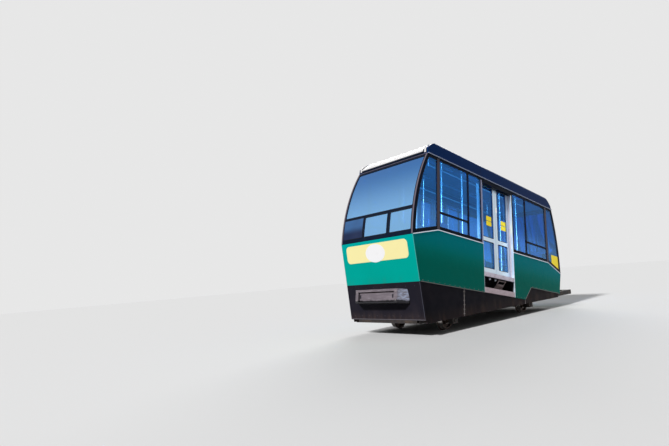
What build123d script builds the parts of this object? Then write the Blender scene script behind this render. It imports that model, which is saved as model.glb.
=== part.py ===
from build123d import *
import os
from math import sqrt

# Funicular car, in millimetres, in the frame of its track.
# x runs uphill along the rails, z stands square to them, y = 0 is the middle of the car.
# Track sizes below count x from under the cabin's middle; the finished car is centred on x.
# z = 0 is the foot of the wheel flanges. The cabin is level only on its slope, so its pieces
# are drawn level and then turned with the slope. Level sizes have their x from the lower
# end's belt corner and their z from the belt line, the light line under the side windows.

# Track and running gear, in the track frame
SLOPE_DEG = 9.8
GAUGE = 1200
TREAD_RADIUS = 180
FLANGE_HEIGHT = 22
FLANGE_WIDTH = 28
TREAD_WIDTH = 100
FLANGE_PLAY = 6
FLANGE_CHAMFER = (6, 8)
FLANGE_TIP = 6
RIM_DEPTH = 34
WEB_THICKNESS = 24
HUB_RADIUS = 84
HUB_WIDTH = 130
AXLE_RADIUS = 52
JOURNAL_RADIUS = 42
JOURNAL_LENGTH = 96
AXLE_X = {"front": -1850, "rear": 1450}
AXLE_PLAY = 6
RUNNING_FIT = 0.08
SEAT_FIT = 0.05

# Chassis, in the track frame
FRAME_FOOT = 263
FRAME_DEPTH = 120
FRAME_WALL = 10
FRAME_FLANGE = 70
FRAME_INNER_Y = 786
CHASSIS_PLAY = 6
FRAME_LOW_X = -2930
FRAME_HIGH_X = 4100
CROSS_X = (-2250, -1450, -500, 500, 1050, 1850, 2750, 3450)
CROSS_WIDTH = 80
HEADSTOCK_THICKNESS = 60
BOX_WIDTH = 190
BOX_COVER = 14
POST_X = (-2650, -1400, -830, 720, 1850, 2700)
POST_SIZE = 70

# Cabin shell, level
BELT_OVER_RAIL = 2168
CAR_LENGTH = 6350
CAR_WIDTH = 2000
MIDDLE_X = 3062
CORNER_DROP = 214
KINK_RUN = (782, 735)
EAVE_Z = 1552
FRONT_RAKE = 455
REAR_RAKE = 335
UNDERCUT = 0.25
APRON_FOOT_Z = -1792
GREEN_FOOT_Z = -1084
REAR_FOOT_Z = -768
NOTCH_TIP_X = 4271
NOTCH_TOP_X = 4590
SIDE_WALL = 40
END_WALL = 50
SKIRT_INSET = 14
SKIRT_WALL = 24
SEAM = 0.3
FLOOR_Z = -622
FLOOR_THICKNESS = 60

# Roof, level
CANT_FOOT_Z = 1567
CANT_LEAN = 0.13
SHOULDER_RADIUS = 110
SHOULDER_TOP_Z = 1902
ROOF_TOP_Z = 1924
ROOF_WALL = 45
LIP_PROUD = 25
LIP_FOOT_Z = 1604
LIP_KNEE_Z = 1625
ROOF_END_RUN = (588, 350)
ROOF_END_MID = ((0.181, 0.372), (0.314, 0.46))
CAP_WIDTH = 260
CANT_EDGE = 115
HEADER_INSET = 8
DRIP_PROUD = 22
DRIP_HEIGHT = 18

# Windows, level
WINDOW_FOOT_Z = 76
WINDOW_HEAD_Z = 1488
SIDE_BAR_Z = (358, 392)
GLASS_THICKNESS = 10
GLASS_INSET = 8
GLASS_FIT = 0.3
CORNER_STILE = 22
CORNER_SILL = 82
B_PILLAR_X = (755, 840)
FRONT_DIVIDER_X = (1866, 1896)
FRONT_POST = 60
REAR_POST = 45
REAR_DIVIDER_X = (4448, 4482)
C_PILLAR_FROM_END = (784, 690)
SCREEN_FOOT_Z = 367
SCREEN_HEAD_Z = 1490
SCREEN_STILE = 54
LOW_PANE_Z = (-118, 307)
NEAR_PANE_Y = -390
MIDDLE_PANE_Y = (-320, 320)

# Doorway, level
DOOR_X = (2445, 3780)
DOOR_MIDDLE = 3145
DOOR_HEAD_Z = 1440
LEAF_RECESS = 95
LEAF_THICKNESS = 34
LEAF_LAP = 24
LEAF_GAP = 6
LEAF_FOOT_GAP = 9
LEAF_HEAD_Z = 1470
MEETING_STILE = 95
OUTER_STILE = (170, 144)
TOP_RAIL = 40
FOOT_RAIL_Z = -497
MID_RAIL_Z = (114, 218)
DOOR_TRAVEL = 600
JAMB_WIDTH = (8, 26)
JAMB_CLEARANCE = 7
SILL_DEPTH = 108
SILL_HEIGHT = 94
HANGER_LENGTH = 70
HANGER_HEIGHT = 24
HANGER_FIT = 0.4
DOOR_GLASS_THICKNESS = 8
TRACK_HEIGHT = 46
TRACK_MARGIN = 10

# Step wells, level
WELL_DEPTH = 330
WELL_WALL = 6
STEP_BAR_Z = (-1076, -960)
STEP_BAR_THICKNESS = 60
STEP_X = (3212, 3527)
STEP_HINGE_Y = 905
STEP_SWING_DEG = 34
STEP_LENGTH = 250
STEP_BAR = 16
STEP_LUG = 13
STEP_TREAD = (90, 228)
STEP_TREAD_THICKNESS = 14
STEP_TREAD_GAP = 6

# Lower end's bumper, level
BUMPER_PROUD = 209
BUMPER_FRONT_WIDTH = 1130
BUMPER_BACK_WIDTH = 1390
BUMPER_Z = (-1480, -1212)
BUMPER_STILE = 78
BUMPER_TOP_WALL = 48
BUMPER_FOOT_WALL = 22
BUMPER_BACK_WALL = 20
BUMPER_PLATE_RECESS = 26
BUMPER_SLOT = 20
BUMPER_PLATE_SAG = 12

# Rope anchor, in the track frame
PIN_RADIUS = 21
EAR_THICKNESS = 32
EAR_GAP = 60
EAR_REACH = 150
EAR_HEIGHT = 116
EAR_PLATE = 24
EAR_PLATE_MARGIN = 30

# Inside the cabin, level
POLE_RADIUS = 19
POLE_SPOTS = ((1520, 550), (2300, 560), (3990, 560), (4830, 560))
CEILING_GAP = 0.3
BENCH_HEIGHT = 440
BENCH_DEPTH = 430
BENCH_WALL = 30
BENCH_BACK = 420
BENCH_KNEE_ROOM = 60
BENCH_RUNS = ((700, 1300), (5000, 5600))
BENCH_FACE_Y = 850
DESK_WIDTH = 700
DESK_DEPTH = 330
DESK_HEIGHT = 700
DESK_WALL = 28
DESK_GAP = 12

# Worked out from the sizes above
HALF = CAR_WIDTH / 2
CORNER_Z = -CORNER_DROP
PROFILE_FOOT_Z = 1.2 * APRON_FOOT_Z
SIDE_INNER = HALF - SIDE_WALL
FLANGE_RADIUS = TREAD_RADIUS + FLANGE_HEIGHT
AXLE_Z = FLANGE_RADIUS
FRAME_TOP = FRAME_FOOT + FRAME_DEPTH
C_PILLAR_X = [CAR_LENGTH - run for run in C_PILLAR_FROM_END]
SCREEN_EDGE_Y = HALF - SCREEN_STILE
CANT_INNER_Y = HALF - CANT_EDGE
EAVE_X = (FRONT_RAKE, CAR_LENGTH - REAR_RAKE)
BETWEEN_JAMBS = (DOOR_X[0] + JAMB_WIDTH[0] + SEAM, DOOR_X[1] - JAMB_WIDTH[1] - SEAM)
LEAF_OUTER = HALF - LEAF_RECESS
LEAF_INNER = LEAF_OUTER - LEAF_THICKNESS
FLOOR_FOOT_Z = FLOOR_Z - FLOOR_THICKNESS
SILL_FOOT_Z = FLOOR_Z - SILL_HEIGHT
TRACK_FOOT_Z = LEAF_HEAD_Z + HANGER_HEIGHT + HANGER_FIT
SIDES = (1, -1)
BIG = 20000


def block(x, y, z):
    """Box between the given pairs of x, y and z."""
    size = [abs(b - a) for a, b in (x, y, z)]
    middle = [(a + b) / 2 for a, b in (x, y, z)]
    return Pos(*middle) * Box(*size)


def plate(outline, y0, y1):
    """Outline of (x, z) corners filled from y0 to y1."""
    face = make_face(Polyline(*[(x, y0, z) for x, z in outline], close=True))
    return extrude(face, amount=y1 - y0, dir=(0, 1, 0))


def rod(x, z, radius, y0, y1):
    """Round bar along y."""
    return Pos(x, (y0 + y1) / 2, z) * Rot(90, 0, 0) * Cylinder(radius, abs(y1 - y0))


def on_slope(piece):
    """Turns a level piece with the slope and sets it over the rails."""
    turned = Rot(0, SLOPE_DEG, 0) * piece
    return Pos(CABIN_X, 0, CABIN_Z) * turned


def both_sides(piece):
    """The piece on the +y side and its mirror image on the other."""
    return [piece, mirror(piece, about=Plane.XZ)]


def solids_of(pieces):
    """All solids of a list of shapes, as one compound."""
    found = []
    for piece in pieces:
        found.extend(piece.solids())
    return Compound(children=found)


def origin_shift():
    """Where the level origin lies in the track frame."""
    turned = Rot(0, SLOPE_DEG, 0) * Pos(MIDDLE_X, 0, 0)
    height = Rot(0, SLOPE_DEG, 0) * Pos(0, 0, -BELT_OVER_RAIL)
    return -turned.position.X, FLANGE_HEIGHT - height.position.Z


CABIN_X, CABIN_Z = origin_shift()


def end_lean(z, rake):
    """How far the raked end has leaned in at height z."""
    rise = EAVE_Z - CORNER_Z
    radius = (rise ** 2 + rake ** 2) / (2 * rake)
    return radius - sqrt(radius ** 2 - (z - CORNER_Z) ** 2)


def cabin_profile(inset, y0, y1):
    """The car's long profile up to the eaves, both ends moved in by inset."""
    foot = UNDERCUT * (CORNER_Z - PROFILE_FOOT_Z)
    middle = (EAVE_Z + CORNER_Z) / 2
    low, high = inset, CAR_LENGTH - inset
    front = ThreePointArc(
        (low, y0, CORNER_Z),
        (low + end_lean(middle, FRONT_RAKE), y0, middle),
        (low + FRONT_RAKE, y0, EAVE_Z))
    rear = ThreePointArc(
        (high - REAR_RAKE, y0, EAVE_Z),
        (high - end_lean(middle, REAR_RAKE), y0, middle),
        (high, y0, CORNER_Z))
    eave = Line((low + FRONT_RAKE, y0, EAVE_Z), (high - REAR_RAKE, y0, EAVE_Z))
    foot_line = Polyline(
        (high, y0, CORNER_Z), (high - foot, y0, PROFILE_FOOT_Z),
        (low + foot, y0, PROFILE_FOOT_Z), (low, y0, CORNER_Z))
    face = make_face([front, eave, rear, foot_line])
    return extrude(face, amount=y1 - y0, dir=(0, 1, 0))


def end_ring(y0, y1):
    """Both raked end walls, cut out of the profile."""
    return cabin_profile(0, y0, y1) - cabin_profile(END_WALL, y0 - 1, y1 + 1)


def end_band(low, high, rear):
    """Part of one end wall between two heights, over the full width."""
    x = (CAR_LENGTH / 2, BIG) if rear else (-BIG, CAR_LENGTH / 2)
    return end_ring(-HALF, HALF) & block(x, (-BIG, BIG), (low, high))


def belt_outline(upper):
    """Outline of the side above or below the belt line, which falls at both ends."""
    far_foot = [CORNER_Z - BIG * CORNER_DROP / KINK_RUN[rear] for rear in (False, True)]
    line = [(-BIG, far_foot[0]), (KINK_RUN[0], 0),
            (CAR_LENGTH - KINK_RUN[1], 0), (CAR_LENGTH + BIG, far_foot[1])]
    end_z = EAVE_Z if upper else 2 * min(far_foot)
    return line + [(CAR_LENGTH + BIG, end_z), (-BIG, end_z)]


def green_foot_outline():
    """Everything above the lower edge of the side panels."""
    return [(-BIG, BIG), (-BIG, GREEN_FOOT_Z), (NOTCH_TIP_X, GREEN_FOOT_Z),
            (NOTCH_TOP_X, REAR_FOOT_Z), (BIG, REAR_FOOT_Z), (BIG, BIG)]


# Cabin shell

def side_skin(y0, y1):
    """One side of the car between its end walls."""
    return cabin_profile(END_WALL + SEAM, y0, y1)


def side_panel(rear):
    """Lower side panel, in front of the doorway or behind it."""
    x = (DOOR_X[1], BIG) if rear else (-BIG, DOOR_X[0])
    skin = side_skin(SIDE_INNER, HALF) & block(x, (0, BIG), (-BIG, BIG))
    skin = skin & plate(belt_outline(False), 0, BIG)
    return skin & plate(green_foot_outline(), 0, BIG)


def window_openings(rear, fit, y0, y1):
    """Window shapes of one half of a side, each smaller by fit all round."""
    low, high = WINDOW_FOOT_Z + fit, WINDOW_HEAD_Z - fit
    if rear:
        runs = [(DOOR_X[1] + REAR_POST, REAR_DIVIDER_X[0], False),
                (REAR_DIVIDER_X[1], C_PILLAR_X[0], True)]
        corner_x = (C_PILLAR_X[1] + fit, BIG)
    else:
        runs = [(B_PILLAR_X[1], FRONT_DIVIDER_X[0], True),
                (FRONT_DIVIDER_X[1], DOOR_X[0] - FRONT_POST, False)]
        corner_x = (-BIG, B_PILLAR_X[0] - fit)
    shapes = []
    for left, right, barred in runs:
        x = (left + fit, right - fit)
        if barred:
            shapes.append(block(x, (y0, y1), (low, SIDE_BAR_Z[0] - fit)))
            shapes.append(block(x, (y0, y1), (SIDE_BAR_Z[1] + fit, high)))
        else:
            shapes.append(block(x, (y0, y1), (low, high)))
    corner = cabin_profile(END_WALL + CORNER_STILE + fit, y0, y1)
    sill = Pos(0, 0, CORNER_SILL + fit) * plate(belt_outline(True), y0, y1)
    corner = corner & sill & block(corner_x, (y0, y1), (-BIG, high))
    return shapes + [corner]


def window_frame(rear):
    """Upper side wall with its windows cut."""
    x = (DOOR_X[1], BIG) if rear else (-BIG, DOOR_X[0])
    wall = side_skin(SIDE_INNER, HALF) & block(x, (0, BIG), (-BIG, BIG))
    wall = wall & plate(belt_outline(True), 0, BIG)
    for opening in window_openings(rear, 0, SIDE_INNER - 5, HALF + 5):
        wall = wall - opening
    return wall


def side_glass():
    """All panes of both sides."""
    outer = HALF - GLASS_INSET
    panes = []
    for rear in (False, True):
        for pane in window_openings(rear, GLASS_FIT, outer - GLASS_THICKNESS, outer):
            panes.extend(both_sides(pane))
    return panes


def screen_cuts(fit):
    """Windscreen and lower panes of an end wall, as (y, z) pairs."""
    cuts = [((-SCREEN_EDGE_Y, SCREEN_EDGE_Y), (SCREEN_FOOT_Z, SCREEN_HEAD_Z)),
            ((-SCREEN_EDGE_Y, NEAR_PANE_Y), LOW_PANE_Z), (MIDDLE_PANE_Y, LOW_PANE_Z)]
    return [((y[0] + fit, y[1] - fit), (z[0] + fit, z[1] - fit)) for y, z in cuts]


def end_frame(rear):
    """Dark end wall from the belt to the roof's lip, with its windscreen openings cut."""
    wall = end_band(CORNER_Z, EAVE_Z, rear)
    for y, z in screen_cuts(0):
        if rear:
            y = (-y[1], -y[0])
        wall = wall - block((-BIG, BIG), y, z)
    inward = -1 if rear else 1
    header_x = [EAVE_X[rear] + inward * run for run in (HEADER_INSET, HEADER_INSET + SIDE_WALL)]
    edge = CANT_INNER_Y - SEAM
    return wall + block(header_x, (-edge, edge), (EAVE_Z, LIP_FOOT_Z - SEAM))


def end_glass():
    """Windscreens and lower panes of both ends."""
    outer = cabin_profile(GLASS_INSET, -HALF, HALF)
    inner = cabin_profile(GLASS_INSET + GLASS_THICKNESS, -HALF - 1, HALF + 1)
    sheet = outer - inner
    panes = []
    for rear in (False, True):
        x = (CAR_LENGTH / 2, BIG) if rear else (-BIG, CAR_LENGTH / 2)
        for y, z in screen_cuts(GLASS_FIT):
            if rear:
                y = (-y[1], -y[0])
            panes.append(sheet & block(x, y, z))
    return panes


def end_panel(rear):
    """Green end wall under the belt."""
    panel = end_band(REAR_FOOT_Z if rear else GREEN_FOOT_Z, CORNER_Z, rear)
    if not rear:
        return on_slope(panel)
    room = FRAME_INNER_Y + FRAME_FLANGE + CHASSIS_PLAY
    gap = block((0, BIG), (-room, room), (-BIG, FRAME_TOP + CHASSIS_PLAY))
    return on_slope(panel) - gap


def apron():
    """Dark wall under the lower end's panel, down to the chassis."""
    return end_band(APRON_FOOT_Z, GREEN_FOOT_Z, False)


def apron_room():
    """What the chassis leaves free for the apron."""
    outer = cabin_profile(-HEADSTOCK_THICKNESS, -HALF, HALF)
    wall = outer - cabin_profile(END_WALL + SEAM, -HALF - 1, HALF + 1)
    return on_slope(wall & block((-BIG, CAR_LENGTH / 2), (-BIG, BIG), (APRON_FOOT_Z - SEAM, BIG)))


def skirt():
    """Dark side sheet under the panels, cut off along the track."""
    outer = HALF - SKIRT_INSET
    sheet = cabin_profile(END_WALL + SEAM, outer - SKIRT_WALL, outer)
    sheet = sheet - plate(green_foot_outline(), 0, BIG)
    sheet = sheet - block(DOOR_X, (0, BIG), (STEP_BAR_Z[0] - SEAM, BIG))
    return on_slope(sheet) & block((-BIG, BIG), (0, BIG), (FRAME_FOOT, BIG))


def floor():
    """Floor slab with room for the door sills."""
    slab = cabin_profile(END_WALL + SEAM, -SIDE_INNER + SEAM, SIDE_INNER - SEAM)
    slab = slab & block((-BIG, BIG), (-BIG, BIG), (FLOOR_FOOT_Z, FLOOR_Z))
    edge = HALF - SILL_DEPTH - SEAM
    for side in SIDES:
        slab = slab - block(DOOR_X, (side * edge, side * BIG), (-BIG, BIG))
    return slab


# Roof

def roof_section(inset):
    """Section across the roof, at x = 0: leaning sides, round shoulders and a slightly crowned top."""
    slant = sqrt(1 + CANT_LEAN ** 2)
    middle_z = SHOULDER_TOP_Z - SHOULDER_RADIUS
    middle_y = HALF - CANT_LEAN * (middle_z - CANT_FOOT_Z) - SHOULDER_RADIUS * slant
    radius = SHOULDER_RADIUS - inset
    side_top = (0, middle_y + radius / slant, middle_z + radius * CANT_LEAN / slant)
    bend = (0, middle_y + radius * sqrt(0.5), middle_z + radius * sqrt(0.5))
    shoulder = (0, middle_y, middle_z + radius)
    top = (0, 0, ROOF_TOP_Z - inset)
    side_foot = (0, HALF - inset * slant, CANT_FOOT_Z)
    wall_foot = (0, HALF - inset * slant, EAVE_Z)
    half = [ThreePointArc(side_top, bend, shoulder), Line(side_top, side_foot), Line(side_foot, wall_foot)]
    crown = ThreePointArc(shoulder, top, (0, -middle_y, middle_z + radius))
    base = Line(wall_foot, (0, -wall_foot[1], EAVE_Z))
    return make_face(half + [mirror(edge, about=Plane.XZ) for edge in half] + [crown, base])


def roof_long(inset):
    """Long profile of the roof: a short upright lip at each end, then a round rise to the top."""
    top = ROOF_TOP_Z - inset
    edges = []
    for rear, inward in ((False, 1), (True, -1)):
        lip_x = EAVE_X[rear] + inward * (inset - LIP_PROUD)
        end_x = EAVE_X[rear] + inward * (ROOF_END_RUN[rear] - LIP_PROUD)
        run, rise = end_x - lip_x, top - LIP_KNEE_Z
        bend = (lip_x + run * ROOF_END_MID[rear][0], -HALF, LIP_KNEE_Z + rise * ROOF_END_MID[rear][1])
        edges.append(ThreePointArc((lip_x, -HALF, LIP_KNEE_Z), bend, (end_x, -HALF, top)))
        edges.append(Line((lip_x, -HALF, LIP_KNEE_Z), (lip_x, -HALF, EAVE_Z)))
    ridge = Line(edges[0] @ 1, edges[2] @ 1)
    base = Line(edges[1] @ 1, edges[3] @ 1)
    return extrude(make_face(edges + [ridge, base]), amount=2 * HALF, dir=(0, 1, 0))


def roof_block(inset):
    """Filled roof above the eaves, its faces moved in by inset."""
    bar = extrude(roof_section(inset), amount=CAR_LENGTH, dir=(1, 0, 0))
    return bar & roof_long(inset)


def roof_shell():
    """Whole hollow roof, before it is split into its skins."""
    return roof_block(0) - (roof_block(ROOF_WALL) + Pos(0, 0, -ROOF_WALL) * roof_block(ROOF_WALL))


def roof_skins():
    """White top skin, its two end caps over the headers, and the two dark sides."""
    shell = roof_shell()
    edge = CANT_INNER_Y
    low, high = EAVE_X[0] + CAP_WIDTH, EAVE_X[1] - CAP_WIDTH
    middle = shell & block((low, high), (-edge, edge), (EAVE_Z, BIG))
    ends = block((-BIG, low - SEAM), (-edge, edge), (LIP_FOOT_Z, BIG))
    ends = ends + block((high + SEAM, BIG), (-edge, edge), (LIP_FOOT_Z, BIG))
    side = shell & block((-BIG, BIG), (edge + SEAM, BIG), (EAVE_Z, BIG))
    side = side & block(EAVE_X, (0, BIG), (EAVE_Z, BIG))
    return middle, shell & ends, side


# Doorways

def leaf_x(rear):
    """Level x range of one leaf when shut."""
    if rear:
        return DOOR_MIDDLE + LEAF_GAP / 2, DOOR_X[1] + LEAF_LAP
    return DOOR_X[0] - LEAF_LAP, DOOR_MIDDLE - LEAF_GAP / 2


def leaf_panes(rear, fit):
    """Upper and lower pane of a leaf, as (x, z) pairs."""
    left, right = leaf_x(rear)
    stiles = (MEETING_STILE, OUTER_STILE[1]) if rear else (OUTER_STILE[0], MEETING_STILE)
    x = (left + stiles[0] + fit, right - stiles[1] - fit)
    return [(x, (FOOT_RAIL_Z + fit, MID_RAIL_Z[0] - fit)),
            (x, (MID_RAIL_Z[1] + fit, LEAF_HEAD_Z - TOP_RAIL - fit))]


def door_leaf(rear):
    """Framed leaf with its hangers."""
    left, right = leaf_x(rear)
    leaf = block((left, right), (LEAF_INNER, LEAF_OUTER), (FLOOR_Z + LEAF_FOOT_GAP, LEAF_HEAD_Z))
    for x, z in leaf_panes(rear, 0):
        leaf = leaf - block(x, (0, BIG), z)
    for end in (left + HANGER_LENGTH, right - HANGER_LENGTH):
        hanger = (end - HANGER_LENGTH / 2, end + HANGER_LENGTH / 2)
        leaf = leaf + block(hanger, (LEAF_INNER, LEAF_OUTER), (LEAF_HEAD_Z, LEAF_HEAD_Z + HANGER_HEIGHT))
    return leaf


def door_panes(rear):
    """Glass of one leaf."""
    middle = (LEAF_INNER + LEAF_OUTER) / 2
    y = (middle - DOOR_GLASS_THICKNESS / 2, middle + DOOR_GLASS_THICKNESS / 2)
    return [block(x, y, z) for x, z in leaf_panes(rear, GLASS_FIT)]


def door_track():
    """Rail over the leaves, as long as their whole travel."""
    x = (leaf_x(False)[0] - DOOR_TRAVEL, leaf_x(True)[1] + DOOR_TRAVEL)
    y = (LEAF_INNER - TRACK_MARGIN, SIDE_INNER - SEAM)
    return block(x, y, (TRACK_FOOT_Z, TRACK_FOOT_Z + TRACK_HEIGHT))


def door_jamb(rear):
    """Bright reveal beside the leaves, from the header down past the step."""
    edge = DOOR_X[1] if rear else DOOR_X[0]
    x = (edge - JAMB_WIDTH[1], edge - SEAM) if rear else (edge + SEAM, edge + JAMB_WIDTH[0])
    return block(x, (LEAF_OUTER + JAMB_CLEARANCE, HALF), (STEP_BAR_Z[0], DOOR_HEAD_Z - SEAM))


def door_header():
    """Dark box over the doorway, cut back for the track."""
    x = (DOOR_X[0] + SEAM, DOOR_X[1] - SEAM)
    wall = block(x, (SIDE_INNER, HALF), (DOOR_HEAD_Z, EAVE_Z))
    return wall + block(x, (LEAF_OUTER + JAMB_CLEARANCE, HALF), (DOOR_HEAD_Z, TRACK_FOOT_Z - SEAM))


def door_sill():
    """Threshold under the leaves."""
    return block(BETWEEN_JAMBS, (HALF - SILL_DEPTH, HALF), (SILL_FOOT_Z, FLOOR_Z - SEAM))


def step_well():
    """Dark box behind the step, open to the side."""
    inner = HALF - WELL_DEPTH
    foot, head = STEP_BAR_Z[1], SILL_FOOT_Z - SEAM
    shell = block(BETWEEN_JAMBS, (inner, SIDE_INNER), (foot, head))
    room_x = (BETWEEN_JAMBS[0] + WELL_WALL, BETWEEN_JAMBS[1] - WELL_WALL)
    return shell - block(room_x, (inner + WELL_WALL, BIG), (foot + WELL_WALL, head - WELL_WALL))


def step_bar():
    """Grey bar that closes the side under the step."""
    return block(BETWEEN_JAMBS, (HALF - STEP_BAR_THICKNESS, HALF), (STEP_BAR_Z[0], STEP_BAR_Z[1] - SEAM))


def step():
    """Fold-down step as it travels: a barred frame with a grating, swung in under the sill."""
    left, right = STEP_X
    half = STEP_BAR / 2
    pieces = [block((x, x + STEP_BAR), (-half, half), (-STEP_LENGTH, 0)) for x in (left, right - STEP_BAR)]
    for z in (0, -STEP_TREAD[0], -STEP_TREAD[1]):
        pieces.append(block((left, right), (-half, half), (z - STEP_BAR, z)))
    tread_x = (left + STEP_BAR + STEP_TREAD_GAP, right - STEP_BAR - STEP_TREAD_GAP)
    flat = STEP_TREAD_THICKNESS / 2
    pieces.append(block(tread_x, (-flat, flat), (-STEP_TREAD[1], -STEP_TREAD[0])))
    hinge_z = SILL_FOOT_Z - WELL_WALL - 2 * SEAM - STEP_LUG
    frame = Pos(0, STEP_HINGE_Y, hinge_z) * Rot(-STEP_SWING_DEG, 0, 0) * (pieces[0] + pieces[1:])
    lug_y = (STEP_HINGE_Y - STEP_LUG, STEP_HINGE_Y + half)
    for x in (left, right - STEP_BAR):
        frame = frame + block((x, x + STEP_BAR), lug_y, (hinge_z - half, hinge_z + STEP_LUG))
    return frame


# Bumper

def bumper():
    """Open-fronted box with chamfered ends on the lower apron, with a sagging plate in its mouth."""
    low, high = BUMPER_Z
    back_x = UNDERCUT * (CORNER_Z - (low + high) / 2)
    front_x = back_x - BUMPER_PROUD
    sunk_x = back_x + END_WALL
    half_front, half_back = BUMPER_FRONT_WIDTH / 2, BUMPER_BACK_WIDTH / 2
    outline = [(front_x, -half_front), (back_x, -half_back), (sunk_x, -half_back),
               (sunk_x, half_back), (back_x, half_back), (front_x, half_front)]
    face = make_face(Polyline(*[(x, y, low) for x, y in outline], close=True))
    box = extrude(face, amount=high - low, dir=(0, 0, 1))
    mouth_y = half_front - BUMPER_STILE
    mouth_z = (low + BUMPER_FOOT_WALL, high - BUMPER_TOP_WALL)
    box = box - block((-BIG, back_x - BUMPER_BACK_WALL), (-mouth_y, mouth_y), mouth_z)
    plate_x = front_x + BUMPER_PLATE_RECESS
    plate_y = mouth_y - BUMPER_SLOT
    plate_z = (mouth_z[0] + BUMPER_SLOT, mouth_z[1] - BUMPER_SLOT)
    sagging = [Line((plate_x, -plate_y, plate_z[0]), (plate_x, -plate_y, plate_z[1])),
               Line((plate_x, -plate_y, plate_z[1]), (plate_x, plate_y, plate_z[1])),
               Line((plate_x, plate_y, plate_z[1]), (plate_x, plate_y, plate_z[0])),
               ThreePointArc((plate_x, plate_y, plate_z[0]), (plate_x, 0, plate_z[0] - BUMPER_PLATE_SAG),
                             (plate_x, -plate_y, plate_z[0]))]
    box = box + extrude(make_face(sagging), amount=back_x - plate_x, dir=(1, 0, 0))
    return box - cabin_profile(0, -HALF, HALF)


# Chassis and running gear

def frame_beams():
    """Two channels along the track, open towards the middle."""
    outer = FRAME_INNER_Y + FRAME_FLANGE
    x = (FRAME_LOW_X, FRAME_HIGH_X)
    beam = block(x, (FRAME_INNER_Y, outer), (FRAME_FOOT, FRAME_TOP))
    web_z = (FRAME_FOOT + FRAME_WALL, FRAME_TOP - FRAME_WALL)
    hollow = block((-BIG, BIG), (0, outer - FRAME_WALL), web_z)
    return both_sides(beam - hollow - apron_room())


def cross_members():
    """Bars between the channels, with a headstock at each end."""
    edge = FRAME_INNER_Y - SEAM
    runs = [(x - CROSS_WIDTH / 2, x + CROSS_WIDTH / 2) for x in CROSS_X]
    runs.append((FRAME_LOW_X, FRAME_LOW_X + 2 * HEADSTOCK_THICKNESS))
    runs.append((FRAME_HIGH_X - HEADSTOCK_THICKNESS, FRAME_HIGH_X))
    bars = [block(run, (-edge, edge), (FRAME_FOOT, FRAME_TOP)) for run in runs]
    return [bar - apron_room() for bar in bars]


def body_posts():
    """Posts that carry the level floor on the sloping chassis."""
    middle = FRAME_INNER_Y + FRAME_FLANGE / 2
    y = (middle - POST_SIZE / 2, middle + POST_SIZE / 2)
    above_floor = on_slope(block((-BIG, BIG), (-BIG, BIG), (FLOOR_FOOT_Z, BIG)))
    posts = []
    for x in POST_X:
        post = block((x - POST_SIZE / 2, x + POST_SIZE / 2), y, (FRAME_TOP, BIG / 4))
        posts.extend(both_sides(post - above_floor))
    return posts


def axle_boxes():
    """Bearing boxes under the channels, each bored for its journal."""
    boxes = []
    inner, outer = FRAME_INNER_Y, FRAME_INNER_Y + JOURNAL_LENGTH
    half = BOX_WIDTH / 2
    box_z = (2 * AXLE_Z - FRAME_FOOT, FRAME_FOOT)
    for x in AXLE_X.values():
        box = block((x - half, x + half), (inner, outer + BOX_COVER), box_z)
        bore = rod(x, AXLE_Z, JOURNAL_RADIUS + RUNNING_FIT, inner - 1, outer)
        boxes.extend(both_sides(box - bore))
    return boxes


def axle(x):
    """Axle with a journal at each end."""
    seat = FRAME_INNER_Y - AXLE_PLAY
    piece = rod(x, AXLE_Z, AXLE_RADIUS, -seat, seat)
    reach = FRAME_INNER_Y + JOURNAL_LENGTH - AXLE_PLAY
    return piece + rod(x, AXLE_Z, JOURNAL_RADIUS, -reach, reach)


def wheel(x):
    """Flanged wheel on the +y side, its flange towards the middle."""
    back = GAUGE / 2 - FLANGE_PLAY - FLANGE_WIDTH
    face = back + FLANGE_WIDTH + TREAD_WIDTH
    middle = (back + face) / 2
    bore = AXLE_RADIUS + SEAT_FIT
    web_0, web_1 = middle - WEB_THICKNESS / 2, middle + WEB_THICKNESS / 2
    hub_0, hub_1 = middle - HUB_WIDTH / 2, middle + HUB_WIDTH / 2
    rim = TREAD_RADIUS - RIM_DEPTH
    tip = back + FLANGE_CHAMFER[1]
    # columns: radius, distance from the car's middle
    outline = [(bore, hub_0), (HUB_RADIUS, hub_0), (HUB_RADIUS, web_0), (rim, web_0), (rim, back),
               (FLANGE_RADIUS - FLANGE_CHAMFER[0], back), (FLANGE_RADIUS, tip),
               (FLANGE_RADIUS, tip + FLANGE_TIP), (TREAD_RADIUS, back + FLANGE_WIDTH),
               (TREAD_RADIUS, face), (rim, face), (rim, web_1),
               (HUB_RADIUS, web_1), (HUB_RADIUS, hub_1), (bore, hub_1)]
    face_2d = make_face(Polyline(*[(x, y, AXLE_Z + r) for r, y in outline], close=True))
    return revolve(face_2d, axis=Axis((x, 0, AXLE_Z), (0, 1, 0)), revolution_arc=360)


def rope_anchor():
    """Two ears under the upper headstock for the rope socket's pin."""
    outer = EAR_GAP / 2 + EAR_THICKNESS
    foot = FRAME_FOOT + (FRAME_DEPTH - EAR_HEIGHT) / 2
    x0 = FRAME_HIGH_X + SEAM
    pin_x = x0 + EAR_REACH - EAR_HEIGHT / 2
    pin_z = foot + EAR_HEIGHT / 2
    edge = outer + EAR_PLATE_MARGIN
    piece = block((x0, x0 + EAR_PLATE), (-edge, edge), (foot, foot + EAR_HEIGHT))
    for side in SIDES:
        inner = side * EAR_GAP / 2
        piece = piece + block((x0, pin_x), (inner, side * outer), (foot, foot + EAR_HEIGHT))
        piece = piece + rod(pin_x, pin_z, EAR_HEIGHT / 2, inner, side * outer)
    return piece - rod(pin_x, pin_z, PIN_RADIUS, -BIG, BIG)


# Inside the cabin

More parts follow.
